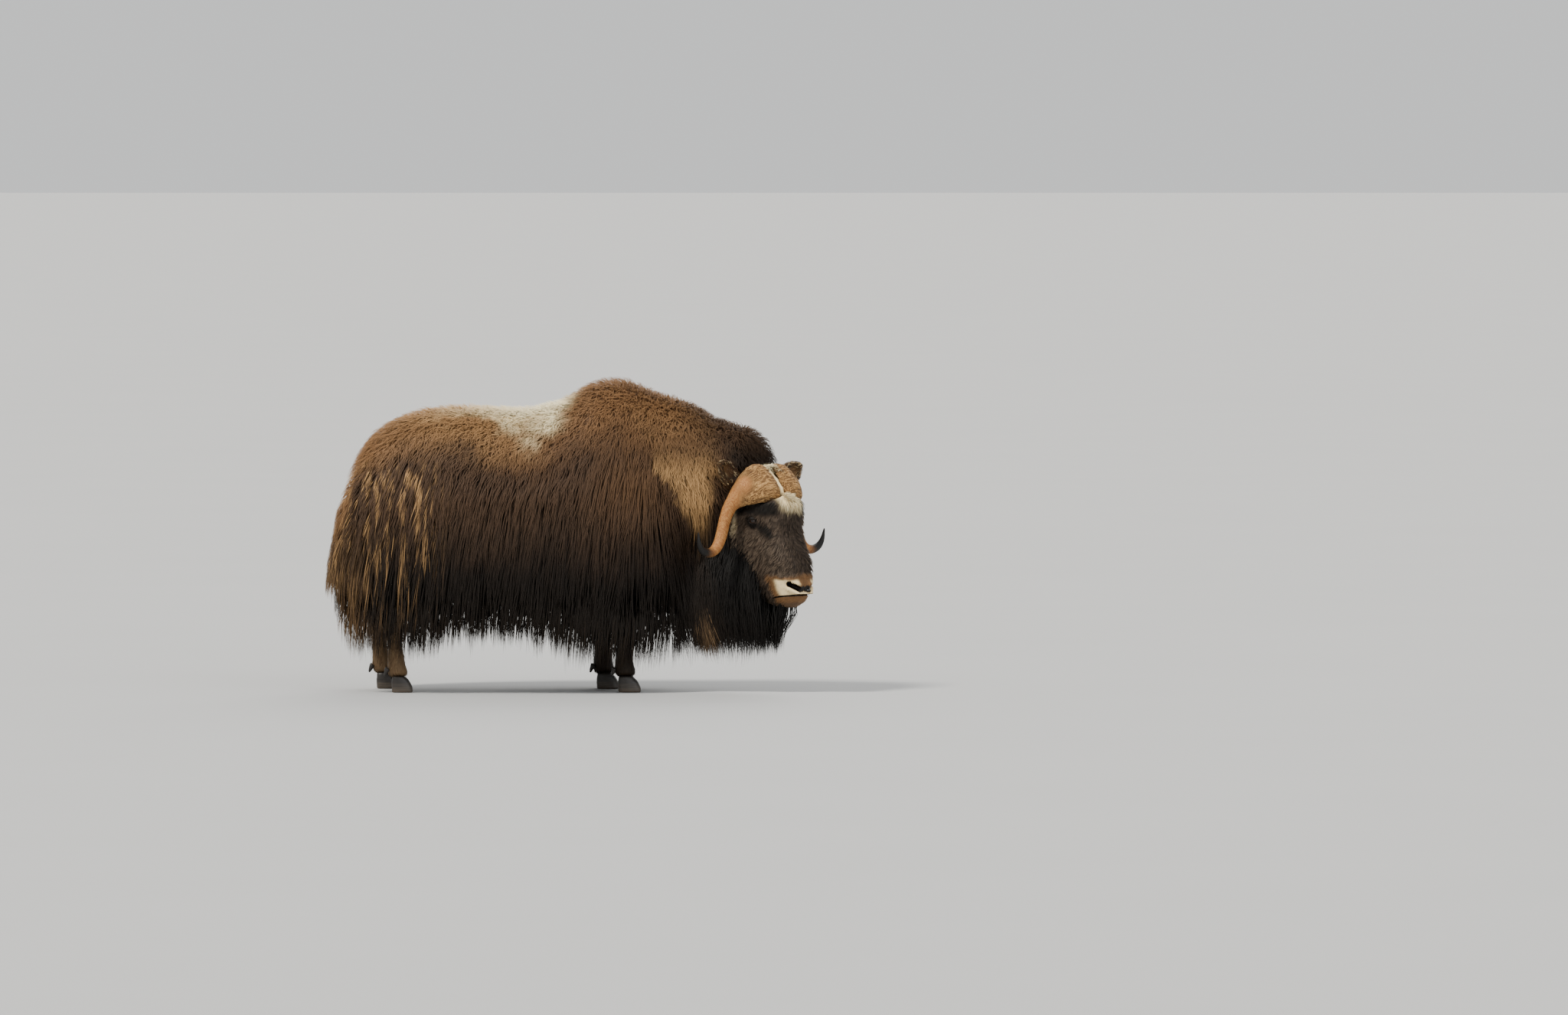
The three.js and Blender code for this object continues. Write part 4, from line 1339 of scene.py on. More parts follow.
    def face_density(self, points: Array, normals: Array) -> Array:
        """Thickest on the muzzle and round the eyes, none on bare skin."""
        both = self.head.folded(points)
        forward, _, up = both.T
        density = 1.0 + 1.6 * ease(forward, 0.20, 0.24) * ease(up, 0.52, 0.48)
        eye = self.skin.from_eye(both)
        density = density + 1.5 * ease(eye, 0.06, 0.04) + 4.0 * self.parting(both)
        density = density * ease(eye, 0.0215, 0.0235)
        bare = self.markings.face(points, np.zeros(len(points)), np.zeros(len(points)))["bare"]
        hole, _ = to_segment(both, *self.skin.nostril_passage)
        behind = ease(forward, -0.09, -0.05) * ease(hole, 0.023, 0.029)
        return density * (bare < 0.25) * behind

    def parting(self, local: Array) -> Array:
        """1 in the strip of pale hair between the two bosses, for points in the head's own directions."""
        strip = ease(np.abs(local[:, 1]), 0.028, 0.018) * ease(local[:, 2], 0.81, 0.84)
        return strip * ease(local[:, 0], 0.03, 0.06)

    def leg_density(self, points: Array, normals: Array) -> Array:
        """Even down the leg, and none where the leg is inside the body."""
        return 0.15 + 0.85 * ease(points[:, 2], 0.55, 0.40)

    def even_density(self, points: Array, normals: Array) -> Array:
        """The same everywhere."""
        return np.ones(len(points))

    def mane_roots(self) -> Roots:
        """Roots of the beard and throat mane: on the jaw, the throat and the front of the chest."""
        head = self.sample(Part.HEAD, self.mane_count // 2, self.beard_density)
        chest = self.sample(Part.TRUNK, self.mane_count // 2, self.throat_density)
        return Roots(*[np.concatenate([getattr(head, name), getattr(chest, name)])
                       for name in ("points", "normals", "part", "tone")])

    def beard_density(self, points: Array, normals: Array) -> Array:
        """Along the lower jaw, behind the lips, and up the back of the cheeks."""
        local = self.head.local(points)
        line = self.skin.mouth_corner[1] + 0.02 + 1.7 * (0.20 - local[:, 0])
        below = ease(local[:, 2] - line, 0.05, -0.03)
        under = ease(local[:, 0], 0.27, 0.24) * ease(normals[:, 2], -0.55, -0.85)
        under = under * ease(local[:, 2], 0.40, 0.38)
        return np.maximum(below * ease(local[:, 0], 0.17, 0.12), under)

    def throat_density(self, points: Array, normals: Array) -> Array:
        """Over the throat and the front of the chest."""
        return ease(points[:, 0], 0.50, 0.62) * ease(points[:, 2], 0.95, 0.70)

    def trunk_length(self, points: Array) -> Array:
        """Short wool on the back that grows into a long curtain below."""
        x, _, z = points.T
        back = np.interp(x, self.markings.ridge_places, self.markings.ridge_heights)
        below = back - z + 0.05 * self.noise.at(points, 0.12)
        rump, side, neck = [
            np.interp(below, self.fall_places, lengths)
            for lengths in (self.rump_lengths, self.side_lengths, self.neck_lengths)
        ]
        length = side + (rump - side) * ease(x, -0.45, -0.70)
        return length + (neck - length) * ease(x, 0.22, 0.42)

    def growth(self, hair: Hair, roots: Roots) -> Growth:
        """Settles how each tuft of one kind grows."""
        count = len(roots)
        even, bell = self.rng.random(count), self.rng.standard_normal(count)
        if hair in (Hair.WOOL, Hair.GUARD):
            length = self.trunk_length(roots.points)
            woolly = ease(length, 0.16, 0.09)
            length = length * (0.72 + 0.43 * even)
            return Growth(
                length=length, width=0.0048 + 0.0014 * even - 0.0010 * woolly,
                stray=bell * (0.10 + 0.38 * woolly), tip=0.008 * woolly - 0.020 * self.rng.random(count) ** 2,
                rise=1.6 if hair is Hair.WOOL else 2.2, curl=0.0035 + 0.004 * woolly, turns=0.9,
                clump=0.25 + 0.1 * woolly + 0.3 * even * (1 - woolly), hang=1.0,
                rings=3 if hair is Hair.WOOL else 6, guide_share=0.10,
            )
        if hair is Hair.MANE:
            return Growth(
                length=np.maximum(roots.points[:, 2] - 0.04, 0.2) * (0.6 + 0.45 * even),
                width=0.0046 + 0.0014 * even, stray=bell * 0.12,
                tip=-0.002 - 0.09 * self.rng.random(count) ** 1.5, rise=2.0, curl=0.006, turns=1.3,
                clump=0.30 + 0.4 * even, hang=1.0, rings=6,
            )
        if hair is Hair.FACE:
            return self.face_growth(roots, even, bell)
        if hair is Hair.EAR:
            return Growth(
                length=0.018 + 0.022 * even, width=0.0026 + 0.0008 * even, stray=bell * 0.45,
                tip=0.004 + 0.007 * even, rise=1.4, curl=0.001, turns=0.8, clump=0.3, hang=0.0, rings=2,
            )
        return Growth(
            length=0.032 + 0.05 * ease(roots.points[:, 2], 0.18, 0.42) + 0.016 * even,
            width=0.0036 + 0.001 * even, stray=bell * 0.22, tip=0.003 - 0.006 * even, rise=1.0,
            curl=0.0015, turns=0.8, clump=0.4, hang=0.0, rings=3,
        )

    def face_growth(self, roots: Roots, even: Array, bell: Array) -> Growth:
        """Short on the muzzle and round the eyes, longer on the brow, the poll and the back of the cheeks."""
        both = self.head.folded(roots.points)
        forward, _, up = both.T
        eye = self.skin.from_eye(both)
        muzzle = ease(forward, 0.19, 0.24) * ease(up, 0.54, 0.49)
        length = 0.042 + 0.02 * ease(up, 0.62, 0.50) * ease(forward, 0.18, 0.08)
        length = length + 0.050 * ease(up, 0.90, 0.95) + 0.012 * ease(up, 0.80, 0.84)
        length = length + (0.008 - length) * muzzle
        length = length * (0.26 + 0.74 * ease(eye, 0.024, 0.055)) * (0.7 + 0.6 * even)
        width = 0.0028 + 0.0010 * even - 0.0008 * muzzle
        curl = 0.0022 * (1.0 - muzzle) + 0.006 * ease(up, 0.90, 0.95)
        tip = (0.001 + 0.008 * even**2) * (1.0 - muzzle)
        above_skin = self.skin.skull.at(roots.points) + 0.002
        above_skin = above_skin + 0.008 * ease(eye, 0.026, 0.040) * (1.0 - muzzle)
        parting = self.parting(both)
        tip = np.maximum(tip - 0.005 * ease(eye, 0.05, 0.03), above_skin) + 0.014 * parting
        length = length * (1.0 - 0.4 * parting)
        clump = 0.62 * (1.0 - muzzle) * (1.0 - 0.6 * parting)
        return Growth(
            length=length, width=width, stray=bell * (0.20 + 0.3 * ease(up, 0.9, 0.95)), tip=tip, rise=1.0,
            curl=curl, turns=1.0, clump=clump, hang=0.0, rings=3,
        )

    def lie(self, hair: Hair, places: Array, out: Array) -> Array:
        """The direction in which hair lies, before it is laid flat on the surface.

        Args:
            hair: The kind of hair.
            places: Where the tufts have grown to.
            out: The direction straight out of the coat there.

        Returns:
            One direction for each place.
        """
        up = np.maximum(out[:, 2], 0.0)
        sideways = np.sign(places[:, 1])
        if hair in (Hair.WOOL, Hair.GUARD, Hair.MANE, Hair.LEG):
            ahead = 0.20 if hair is Hair.MANE else 0.32
            back = -0.10 - 0.55 * up + ahead * ease(places[:, 0], 0.30, 0.50)
            spread = 0.55 * sideways * up * ease(np.abs(places[:, 1]), 0.0, 0.08)
            return np.stack([back, spread, np.full(len(up), -1.0)], axis=1)
        local = self.head.local(places)
        side = np.sign(local[:, 1])
        if hair is Hair.EAR:
            way = np.stack([0.15 * np.ones(len(up)), side, 0.62 * np.ones(len(up))], axis=1)
        else:
            front = ease(np.abs(self.turn_in(out)[:, 1]), 0.7, 0.3)
            bridge = front * ease(local[:, 2], 0.55, 0.48)
            apart = (0.25 + 0.9 * bridge) * (1.0 - self.parting(local))
            way = np.stack([-0.45 * (1 - front), side * apart, -0.9 + 0.7 * bridge], axis=1)
            poll = ease(local[:, 2], 0.90, 0.94)[:, None]
            over_poll = np.stack([0.8 * np.ones(len(up)), 0.3 * side, 0.2 + 0 * up], axis=1)
            way = way * (1 - poll) + poll * over_poll
        return self.head.world(way) - self.head.origin

    def turn_in(self, directions: Array) -> Array:
        """Directions in the frame as directions in the head."""
        return self.head.local(directions + self.head.origin)

    def surface(self, hair: Hair) -> Field:
        """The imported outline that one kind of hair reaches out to."""
        own = {Hair.FACE: self.skin.skull, Hair.EAR: self.skin.ears, Hair.LEG: self.skin.legs}
        return own.get(hair, self.skin.body)

    def march(self, hair: Hair, roots: Roots, growth: Growth) -> tuple[Array, Array]:
        """Grows every tuft step by step over the skin.

        Args:
            hair: The kind of hair.
            roots: Where the tufts start.
            growth: How they grow.

        Returns:
            The places along each tuft, and the direction out of the coat at each, both shaped
            (steps + 1, tufts, 3).
        """
        surface = self.surface(hair)
        place = roots.points - self.root_depth * roots.normals
        start = surface.at(place)
        stride = growth.length / self.steps
        heading = 1.2 * roots.normals if growth.rise < 1.5 else 0.6 * roots.normals
        path, outs = [place], []
        for k in range(1, self.steps + 1):
            out = surface.slope(place)
            outs.append(out)
            along = self.lie(hair, place, out)
            along = along - (along * out).sum(1)[:, None] * out
            along = unit(along) + np.cross(out, unit(along)) * growth.stray[:, None]
            wanted = growth.tip + (start - growth.tip) * (1 - k / self.steps) ** growth.rise
            rise = np.clip((wanted - surface.at(place)) / stride, -0.5, 0.8)[:, None]
            go = unit(along) * np.sqrt(1.0 - rise**2) + out * rise
            free = growth.hang * ease(out[:, 2], -0.15, -0.6)[:, None]
            go = go * (1.0 - free) + free * np.array([0.0, 0.0, -1.0])
            heading = unit(go + 0.8 * heading)
            place = place + stride[:, None] * heading
            over = np.maximum(surface.at(place) - np.maximum(growth.tip, 0.0) - self.overshoot, 0.0)
            place = place - (1.0 - free) * over[:, None] * surface.slope(place)
            path.append(place)
        outs.append(surface.slope(place))
        return np.stack(path), np.stack(outs)

    def trim(self, hair: Hair, path: Array, outs: Array, growth: Growth) -> Array:
        """The share of each tuft that stays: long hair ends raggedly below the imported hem."""
        kept = np.ones(path.shape[1])
        if not growth.hang:
            return kept
        surface = self.surface(hair)
        reach = self.hem_reach * self.rng.random(len(kept))
        for k in range(path.shape[0] - 1, 1, -1):
            outside = (surface.at(path[k]) > reach) & (outs[k, :, 2] < -0.4) & (path[k, :, 2] < 0.5)
            kept = np.where(outside, (k - 0.3) / self.steps, kept)
            kept = np.where(path[k, :, 2] < self.lowest_tip, (k - 1) / self.steps, kept)
        return np.clip(kept * (1.0 - 0.10 * self.rng.random(len(kept))), 0.15, 1.0)

    def shape(self, hair: Hair, roots: Roots) -> tuple[Array, Array, Growth]:
        """Grows, trims, clumps and curls one kind of hair.

        Returns:
            Places and outward directions shaped (rings + 1, tufts, 3), and the growth they came from.
        """
        growth = self.growth(hair, roots)
        path, outs = self.march(hair, roots, growth)
        kept = self.trim(hair, path, outs, growth)
        share = np.linspace(0.0, 1.0, growth.rings + 1)
        if growth.rings > 3:
            share = share**0.9
        at = share[:, None] * kept * self.steps
        low = np.minimum(at.astype(int), self.steps - 1)
        rest = (at - low)[..., None]
        tuft = np.arange(len(roots))
        place = path[low, tuft] * (1 - rest) + path[low + 1, tuft] * rest
        out = unit(outs[low, tuft] * (1 - rest) + outs[low + 1, tuft] * rest)
        self.clump(roots, place, growth, share)
        self.curl(place, out, growth, share, kept)
        return place, out, growth

    def clump(self, roots: Roots, place: Array, growth: Growth, share: Array) -> None:
        """Draws each tuft towards the nearest guide, more and more to the tip."""
        guides = self.rng.choice(len(roots), size=max(int(len(roots) * growth.guide_share), 1), replace=False)
        tree = KDTree(len(guides))
        for i, point in enumerate(roots.points[guides].tolist()):
            tree.insert(point, i)
        tree.balance()
        nearest = guides[[tree.find(point)[1] for point in roots.points.tolist()]]
        drawn = (share[:, None] ** 1.3) * growth.clump
        place += drawn[..., None] * (place[:, nearest] - place)

    def curl(self, place: Array, out: Array, growth: Growth, share: Array, kept: Array) -> None:
        """Waves and curls each tuft about its own line."""
        ahead = unit(np.gradient(place, axis=0))
        side = unit(np.cross(ahead, out))
        phase = self.rng.random(place.shape[1]) * 2 * math.pi
        turn = 2 * math.pi * growth.turns * share[:, None] * kept
        turn = turn * (0.7 + 0.6 * self.rng.random(place.shape[1]))
        reach = (share[:, None] ** 0.8) * growth.curl * (0.5 + self.rng.random(place.shape[1]))
        place += side * (reach * np.sin(turn + phase))[..., None]
        place += out * (0.7 * reach * (np.cos(turn + phase) - 0.3))[..., None]

    def pieces(self, hair: Hair, roots: Roots) -> list[Object]:
        """Makes the pieces of one kind of hair, split so that none has more than about most_triangles
        triangles. Makes the pieces of one kind of hair, each small enough to export.
        """
        place, out, growth = self.shape(hair, roots)
        triangles = 6 * growth.rings - 2
        parts = math.ceil(len(roots) * triangles / self.most_triangles)
        order = np.argsort(roots.points[:, 0])
        made = []
        for number, chosen in enumerate(np.array_split(order, parts), start=1):
            name = f"coat_{hair.title}_{number}" if parts > 1 else f"coat_{hair.title}"
            mesh = self.mesh(name, hair, roots.pick(chosen), place[:, chosen], out[:, chosen],
                             growth.width[chosen])
            made.append(link(mesh, None))
        return made

    def mesh(self, name: str, hair: Hair, roots: Roots, place: Array, out: Array, width: Array) -> Mesh:
        """Builds closed three-sided tufts along their lines.

        Args:
            name: The mesh's name.
            hair: The kind of hair.
            roots: Where the tufts start.
            place: Places along each tuft, shaped (rings + 1, tufts, 3).
            out: The direction out of the coat at each.
            width: The widest part of each tuft.

        Returns:
            The mesh, with its shades and its baking map.
        """
        rings, count = place.shape[0] - 1, place.shape[1]
        share = np.linspace(0.0, 1.0, rings + 1)
        ahead = unit(np.gradient(place, axis=0))
        side = unit(np.cross(ahead, out))
        over = np.cross(side, ahead)
        wide = (0.55 + 0.45 * np.sin(np.minimum(share * 1.6, 1.0) * math.pi / 2)) * (1.0 - share**1.6)
        half = 0.5 * wide[:, None, None] * width[None, :, None]
        corners = np.stack([place + side * half, place + over * half * 0.8, place - side * half], axis=2)
        points = by_tuft(corners, place[-1])
        each = 3 * rings + 1
        quads = [(3 * j + m, 3 * j + 3 + m, 3 * j + 3 + (m + 1) % 3, 3 * j + (m + 1) % 3)
                 for j in range(rings - 1) for m in range(3)]
        last = 3 * (rings - 1)
        thirds = [(last + m, 3 * rings, last + (m + 1) % 3) for m in range(3)] + [(0, 1, 2)]
        loops = np.array([v for face in quads + thirds for v in face])
        sizes = np.array([4] * len(quads) + [3] * len(thirds))
        mesh = bpy.data.meshes.new(name)
        mesh.vertices.add(count * each)
        mesh.vertices.foreach_set("co", points.reshape(-1).astype(np.float32))
        all_loops = (loops[None, :] + each * np.arange(count)[:, None]).ravel()
        all_sizes = np.tile(sizes, count)
        mesh.loops.add(len(all_loops))
        mesh.polygons.add(len(all_sizes))
        mesh.loops.foreach_set("vertex_index", all_loops.astype(np.int32))
        starts = np.concatenate([[0], np.cumsum(all_sizes)[:-1]])
        mesh.polygons.foreach_set("loop_start", starts.astype(np.int32))
        mesh.update(calc_edges=True)
        mesh.shade_smooth()
        own = np.stack([side, over, -side], axis=2)
        facing = unit(own + hair.softness * (out[:, :, None] - own))
        facing = by_tuft(facing, out[-1])
        mesh.normals_split_custom_set_from_vertices(facing.reshape(-1, 3).astype(np.float32))
        along = np.concatenate([np.repeat(share[:-1], 3), [1.0]])
        across = np.concatenate([np.tile([0.0, 0.5, 1.0], rings), [0.5]])
        self.map(mesh, hair, roots, along, across, all_loops, each)
        self.shade(mesh, hair, roots, points.reshape(-1, 3), along, across, each)
        return mesh

    def shade(self, mesh: Mesh, hair: Hair, roots: Roots, points: Array, along: Array,
              across: Array, each: int) -> None:
        """Stores what the materials read: the way along, each tuft's tone, its grain and the markings."""
        count = len(roots)
        even = hair.evenness
        set_numbers(mesh, "along", np.tile(even + (1.0 - even) * along, count))
        tone = np.repeat(roots.tone, each)
        set_numbers(mesh, "tone", tone + even * (0.4 - tone))
        strand = [np.tile(across * 1.7, count), np.tile(along * 2.4, count), 0.0]
        grain = np.stack([own + shift * tone for own, shift in zip(strand, self.grain_shift)], axis=1)
        set_numbers(mesh, "grain", grain)
        from_root = np.repeat(roots.points, each, axis=0)
        mixed = self.colour_from_root * from_root + (1.0 - self.colour_from_root) * points
        part = np.repeat(roots.part, each)
        if hair is Hair.MANE:
            part[:] = Part.TRUNK.value
        self.markings.paint(mesh, mixed, part, tone)

    def map(self, mesh: Mesh, hair: Hair, roots: Roots, along: Array, across: Array,
            loops: Array, each: int) -> None:
        """Lays each tuft as a small patch at its root's place on an unwrap of the skin's own shape."""
        if hair in (Hair.FACE, Hair.EAR, Hair.MANE):
            local = self.head.local(roots.points) - np.array([0.1, 0.0, 0.0])
            turn, level = np.arctan2(local[:, 1], local[:, 0]), local[:, 2]
        elif hair is Hair.LEG:
            leg = (roots.points[:, 0] > -0.2) * 2 + (roots.points[:, 1] > 0)
            middle = np.array([
                roots.points[leg == k, :2].mean(0) if (leg == k).any() else (0, 0) for k in range(4)
            ])
            away = roots.points[:, :2] - middle[leg]
            turn = (np.arctan2(away[:, 1], away[:, 0]) + math.pi) / 4 + leg * math.pi / 2 - math.pi
            level = roots.points[:, 2]
        else:
            turn = np.arctan2(roots.points[:, 1], roots.points[:, 2] - self.map_axis_height)
            level = roots.points[:, 0]
        level = (level - level.min()) / max(np.ptp(level), 1e-6)
        corner = np.stack([turn / (2 * math.pi) + 0.5, level], axis=1) * (1.0 - self.patch)
        within = self.patch * np.stack([across, along], axis=1)
        spots = (corner[:, None] + within[None]).reshape(-1, 2)
        layer = mesh.uv_layers.new(name="OFBake")
        layer.data.foreach_set("uv", spots[loops].astype(np.float32).ravel())


def by_tuft(rings: Array, tips: Array) -> Array:
    """Puts rows shaped (rings, tufts, 3, 3) in the order of the tufts' vertices, each tip last."""
    around = rings[:-1].transpose(1, 0, 2, 3).reshape(len(tips), -1, 3)
    return np.concatenate([around, tips[:, None]], axis=1)


def part_of(skin: Skin, points: Array) -> Array:
    """What the skin at each point belongs to, as a value of Part."""
    distances = skin.part_distances(points)
    distances[Part.EAR.value] -= 0.004
    return np.argmin(distances, axis=0)


# Finishes


def linear(red: int, green: int, blue: int) -> tuple[float, float, float, float]:
    """A colour from three screen values of 0 to 255."""
    shares = [value / 255 for value in (red, green, blue)]
    return tuple([c / 12.92 if c <= 0.04045 else ((c + 0.055) / 1.055) ** 2.4 for c in shares]) + (1.0,)


Feed = float | tuple | NodeSocket  # what a socket can be given


@dataclass
class Wiring:
    """Adds nodes to a material or a node group, in few words."""

    tree: NodeTree

    def node(self, kind: str, settings: dict | None = None, **inputs: Feed) -> Node:
        """Adds a node.

        Args:
            kind: The node's type.
            settings: Its own settings, by name.
            **inputs: Its sockets by name, with _ for a space, as numbers or as other nodes' outputs.

        Returns:
            The node.
        """
        made = self.tree.nodes.new(kind)
        for name, value in (settings or {}).items():
            setattr(made, name, value)
        self.give(made, **inputs)
        return made

    def give(self, made: Node, **inputs: Feed) -> None:
        """Feeds a node's sockets by name, with _ for a space."""
        for name, value in inputs.items():
            self.feed(made.inputs[name.replace("_", " ")], value)

    def feed(self, socket: NodeSocket, value: Feed) -> None:
        """Sets a socket to a number or colour, or links it to another node's output."""
        if isinstance(value, NodeSocket):
            self.tree.links.new(value, socket)
        else:
            socket.default_value = value

    def mix(self, share: Feed, first: Feed, second: Feed) -> NodeSocket:
        """Mixes two colours and gives the result's socket."""
        made = self.tree.nodes.new("ShaderNodeMix")
        made.data_type = "RGBA"
        for index, value in ((0, share), (6, first), (7, second)):
            self.feed(made.inputs[index], value)
        return made.outputs[2]

    def math(self, operation: str, first: Feed, second: Feed = 0.0, clamp: bool = False) -> NodeSocket:
        """One step of arithmetic."""
        made = self.tree.nodes.new("ShaderNodeMath")
        made.operation, made.use_clamp = operation, clamp
        self.feed(made.inputs[0], first)
        self.feed(made.inputs[1], second)
        return made.outputs[0]

    def add(self, *terms: Feed) -> NodeSocket:
        """The sum of several values, kept between 0 and 1."""
        total = terms[0]
        for term in terms[1:-1]:
            total = self.math("ADD", total, term)
        return self.math("ADD", total, terms[-1], True)

    def times(self, first: Feed, second: Feed) -> NodeSocket:
        """The product of two values."""
        return self.math("MULTIPLY", first, second)

    def raised(self, height: Feed, strength: float, distance: float) -> NodeSocket:
        """The normal of a surface roughened by a height, for a shader's Normal."""
        made = self.node("ShaderNodeBump", Strength=strength, Distance=distance, Height=height)
        return made.outputs[0]

    def number(self, name: str) -> NodeSocket:
        """Reads a number stored on the mesh."""
        return self.node("ShaderNodeAttribute", {"attribute_name": name}).outputs["Fac"]

    def row(self, name: str) -> NodeSocket:
        """Reads a row of three numbers stored on the mesh."""
        return self.node("ShaderNodeAttribute", {"attribute_name": name}).outputs["Vector"]

    def noise(self, vector: NodeSocket, scale: float, detail: float = 2.0,
              roughness: float = 0.5) -> NodeSocket:
        """Noise from 0 to 1 at a vector."""
        made = self.node("ShaderNodeTexNoise", Vector=vector, Scale=scale, Detail=detail, Roughness=roughness)
        return made.outputs[0]


def new_group(name: str, inputs: dict[str, tuple], outputs: dict[str, str]) -> tuple[NodeTree, Wiring]:
    """Starts a node group.

    Args:
        name: The group's name.
        inputs: Each input's type and starting value.
        outputs: Each output's type.

    Returns:
        The group and its wiring.
    """
    tree = bpy.data.node_groups.new(name, "ShaderNodeTree")
    for key, (kind, value) in inputs.items():
        socket = tree.interface.new_socket(key, in_out="INPUT", socket_type=kind)
        socket.default_value = value
    for key, kind in outputs.items():
        tree.interface.new_socket(key, in_out="OUTPUT", socket_type=kind)
    return tree, Wiring(tree)


@dataclass(frozen=True)
class HairColour:
    """One shade of hair, at its root and at its tip."""

    root: tuple
    tip: tuple


@dataclass(frozen=True)
class CoatPalette:
    """The colours of the whole coat."""

    brown: HairColour = HairColour(linear(38, 27, 18), linear(86, 64, 46))
    rust: HairColour = HairColour(linear(66, 45, 29), linear(140, 102, 66))
    gold: HairColour = HairColour(linear(116, 82, 48), linear(208, 164, 110))
    # near black: the real dark hair, deepened with painted shade because the beard and chest hang in shadow;
    # every dark marking uses it
    dark: HairColour = HairColour(linear(5, 4, 3), linear(21, 16, 11))
    grey: HairColour = HairColour(linear(24, 20, 17), linear(126, 110, 94))
    tan: HairColour = HairColour(linear(96, 66, 38), linear(156, 114, 72))
    pale: HairColour = HairColour(linear(250, 218, 160), linear(255, 243, 200))
    bare: HairColour = HairColour(linear(16, 13, 12), linear(30, 25, 23))


def coat_colour_group(palette: CoatPalette) -> NodeTree:
    """Builds the group that turns the stored shades into the colour and roughness of skin and coat."""
    inputs = {shade.value: ("NodeSocketFloat", 0.0) for shade in Shade}
    inputs |= {"along": ("NodeSocketFloat", 0.4), "tone": ("NodeSocketFloat", 0.5)}
    inputs |= {"grain": ("NodeSocketVector", (0, 0, 0))}
    outputs = {"Color": "NodeSocketColor", "Roughness": "NodeSocketFloat", "Height": "NodeSocketFloat"}
    tree, wire = new_group("coat markings", inputs, outputs)
    given = wire.node("NodeGroupInput").outputs
    streak = wire.noise(given["grain"], 2.3, 3.0, 0.6)
    to_tip = wire.math("POWER", given["along"], 1.3)
    lighter = wire.math("MULTIPLY", to_tip, wire.math("ADD", streak, 0.45), True)
    colour = wire.mix(lighter, palette.brown.root, palette.brown.tip)
    for shade in Shade:
        pair = getattr(palette, shade.value)
        colour = wire.mix(given[shade.value], colour, wire.mix(lighter, pair.root, pair.tip))
    bright = wire.math("ADD", wire.times(given["tone"], 0.55), wire.times(streak, 0.5))
    multiply = wire.node("ShaderNodeVectorMath", {"operation": "SCALE"})
    wire.feed(multiply.inputs[0], colour)
    wire.feed(multiply.inputs["Scale"], wire.add(bright, wire.times(given["pale"], 0.2), 0.48))
    rough = wire.math("SUBTRACT", 0.72, wire.times(streak, 0.25))
    rough = wire.math("SUBTRACT", rough, wire.times(given["bare"], 0.22))
    wire.node("NodeGroupOutput", Color=multiply.outputs[0], Roughness=rough, Height=streak)
    return tree


@dataclass(frozen=True)
class CoatFinish:
    """Hair: shared colours, soft sheen and fine strands."""

    name: str
    group: NodeTree
    bump: float = 0.35
    distance: float = 0.0012
    sheen: float = 0.18

    def material(self) -> Material:
        """Builds the material."""
        material, wire, shader = new_material(self.name)
        marks = wire.node("ShaderNodeGroup", {"node_tree": self.group})
        for name in [shade.value for shade in Shade] + ["along", "tone"]:
            wire.feed(marks.inputs[name], wire.number(name))
        wire.feed(marks.inputs["grain"], wire.row("grain"))
        normal = wire.raised(marks.outputs["Height"], self.bump, self.distance)
        wire.give(shader, Base_Color=marks.outputs["Color"], Roughness=marks.outputs["Roughness"],
                  Normal=normal, Specular_IOR_Level=self.sheen)
        return material


def new_material(name: str) -> tuple[Material, Wiring, Node]:
    """Starts a material and gives it, its wiring and its main shader."""
    material = bpy.data.materials.new(name)
    material.use_nodes = True
    return material, Wiring(material.node_tree), material.node_tree.nodes["Principled BSDF"]


@dataclass(frozen=True)
class HornFinish:
    """Horn: fibrous tan on the boss with painted shade in its grooves, orange-tan on the shaft, black at the
    tip.
    """

    name: str = "horn"
    pale: tuple = linear(186, 144, 90)
    fibre: tuple = linear(130, 92, 52)
    # the boss's darkest colour: cracks in the horn, and painted shade in the grooves between its ridges
    crack_and_groove_shade: tuple = linear(58, 37, 20)
    shaft: tuple = linear(144, 88, 42)
    glow: tuple = linear(184, 134, 78)
    tip: tuple = linear(20, 17, 15)
    tip_start: tuple = (0.70, 0.84)  # shares of the way along, where the black starts and where it is full

    def material(self) -> Material:
        """Builds the material from the way along the horn and its fibres."""
        material, wire, shader = new_material(self.name)
        along, shaft, ridge = [wire.number(name) for name in ("along", "shaft", "ridge")]
        fibre = wire.row("fibre")
        grain = wire.noise(fibre, 1.0, 4.0, 0.65)
        fine = wire.noise(fibre, 3.1, 3.0, 0.6)
        # fibre grain plus the ridges' height: painted shade darkens the grooves and paints the crests paler
        worn = wire.add(wire.times(ridge, 0.25), wire.times(grain, 2.2), -0.5)
        boss = wire.mix(worn, self.crack_and_groove_shade, self.fibre)
        boss = wire.mix(ramp(wire, worn, 0.45, 0.95), boss, self.pale)
        stem = wire.mix(ramp(wire, grain, 0.35, 0.7), self.shaft, self.glow)
        colour = wire.mix(shaft, boss, stem)
        dark = ramp(wire, wire.math("ADD", along, wire.times(fine, 0.10)), *self.tip_start)
        colour = wire.mix(dark, colour, self.tip)
        rough = wire.math("SUBTRACT", 0.78, wire.times(shaft, 0.30))
        rough = wire.math("ADD", rough, wire.times(fine, 0.12), True)
        height = wire.math("ADD", grain, wire.times(fine, 0.5))
        wire.give(shader, Base_Color=colour, Roughness=rough, Normal=wire.raised(height, 0.8, 0.002),
                  Specular_IOR_Level=0.3)
        return material


def ramp(wire: Wiring, value: Feed, low: float, high: float) -> NodeSocket:
    """A smooth step of a value from 0 at low to 1 at high."""
    made = wire.node("ShaderNodeMapRange", {"interpolation_type": "SMOOTHSTEP"})
    for name, number in (("Value", value), ("From Min", low), ("From Max", high)):
        wire.feed(made.inputs[name], number)
    return made.outputs[0]


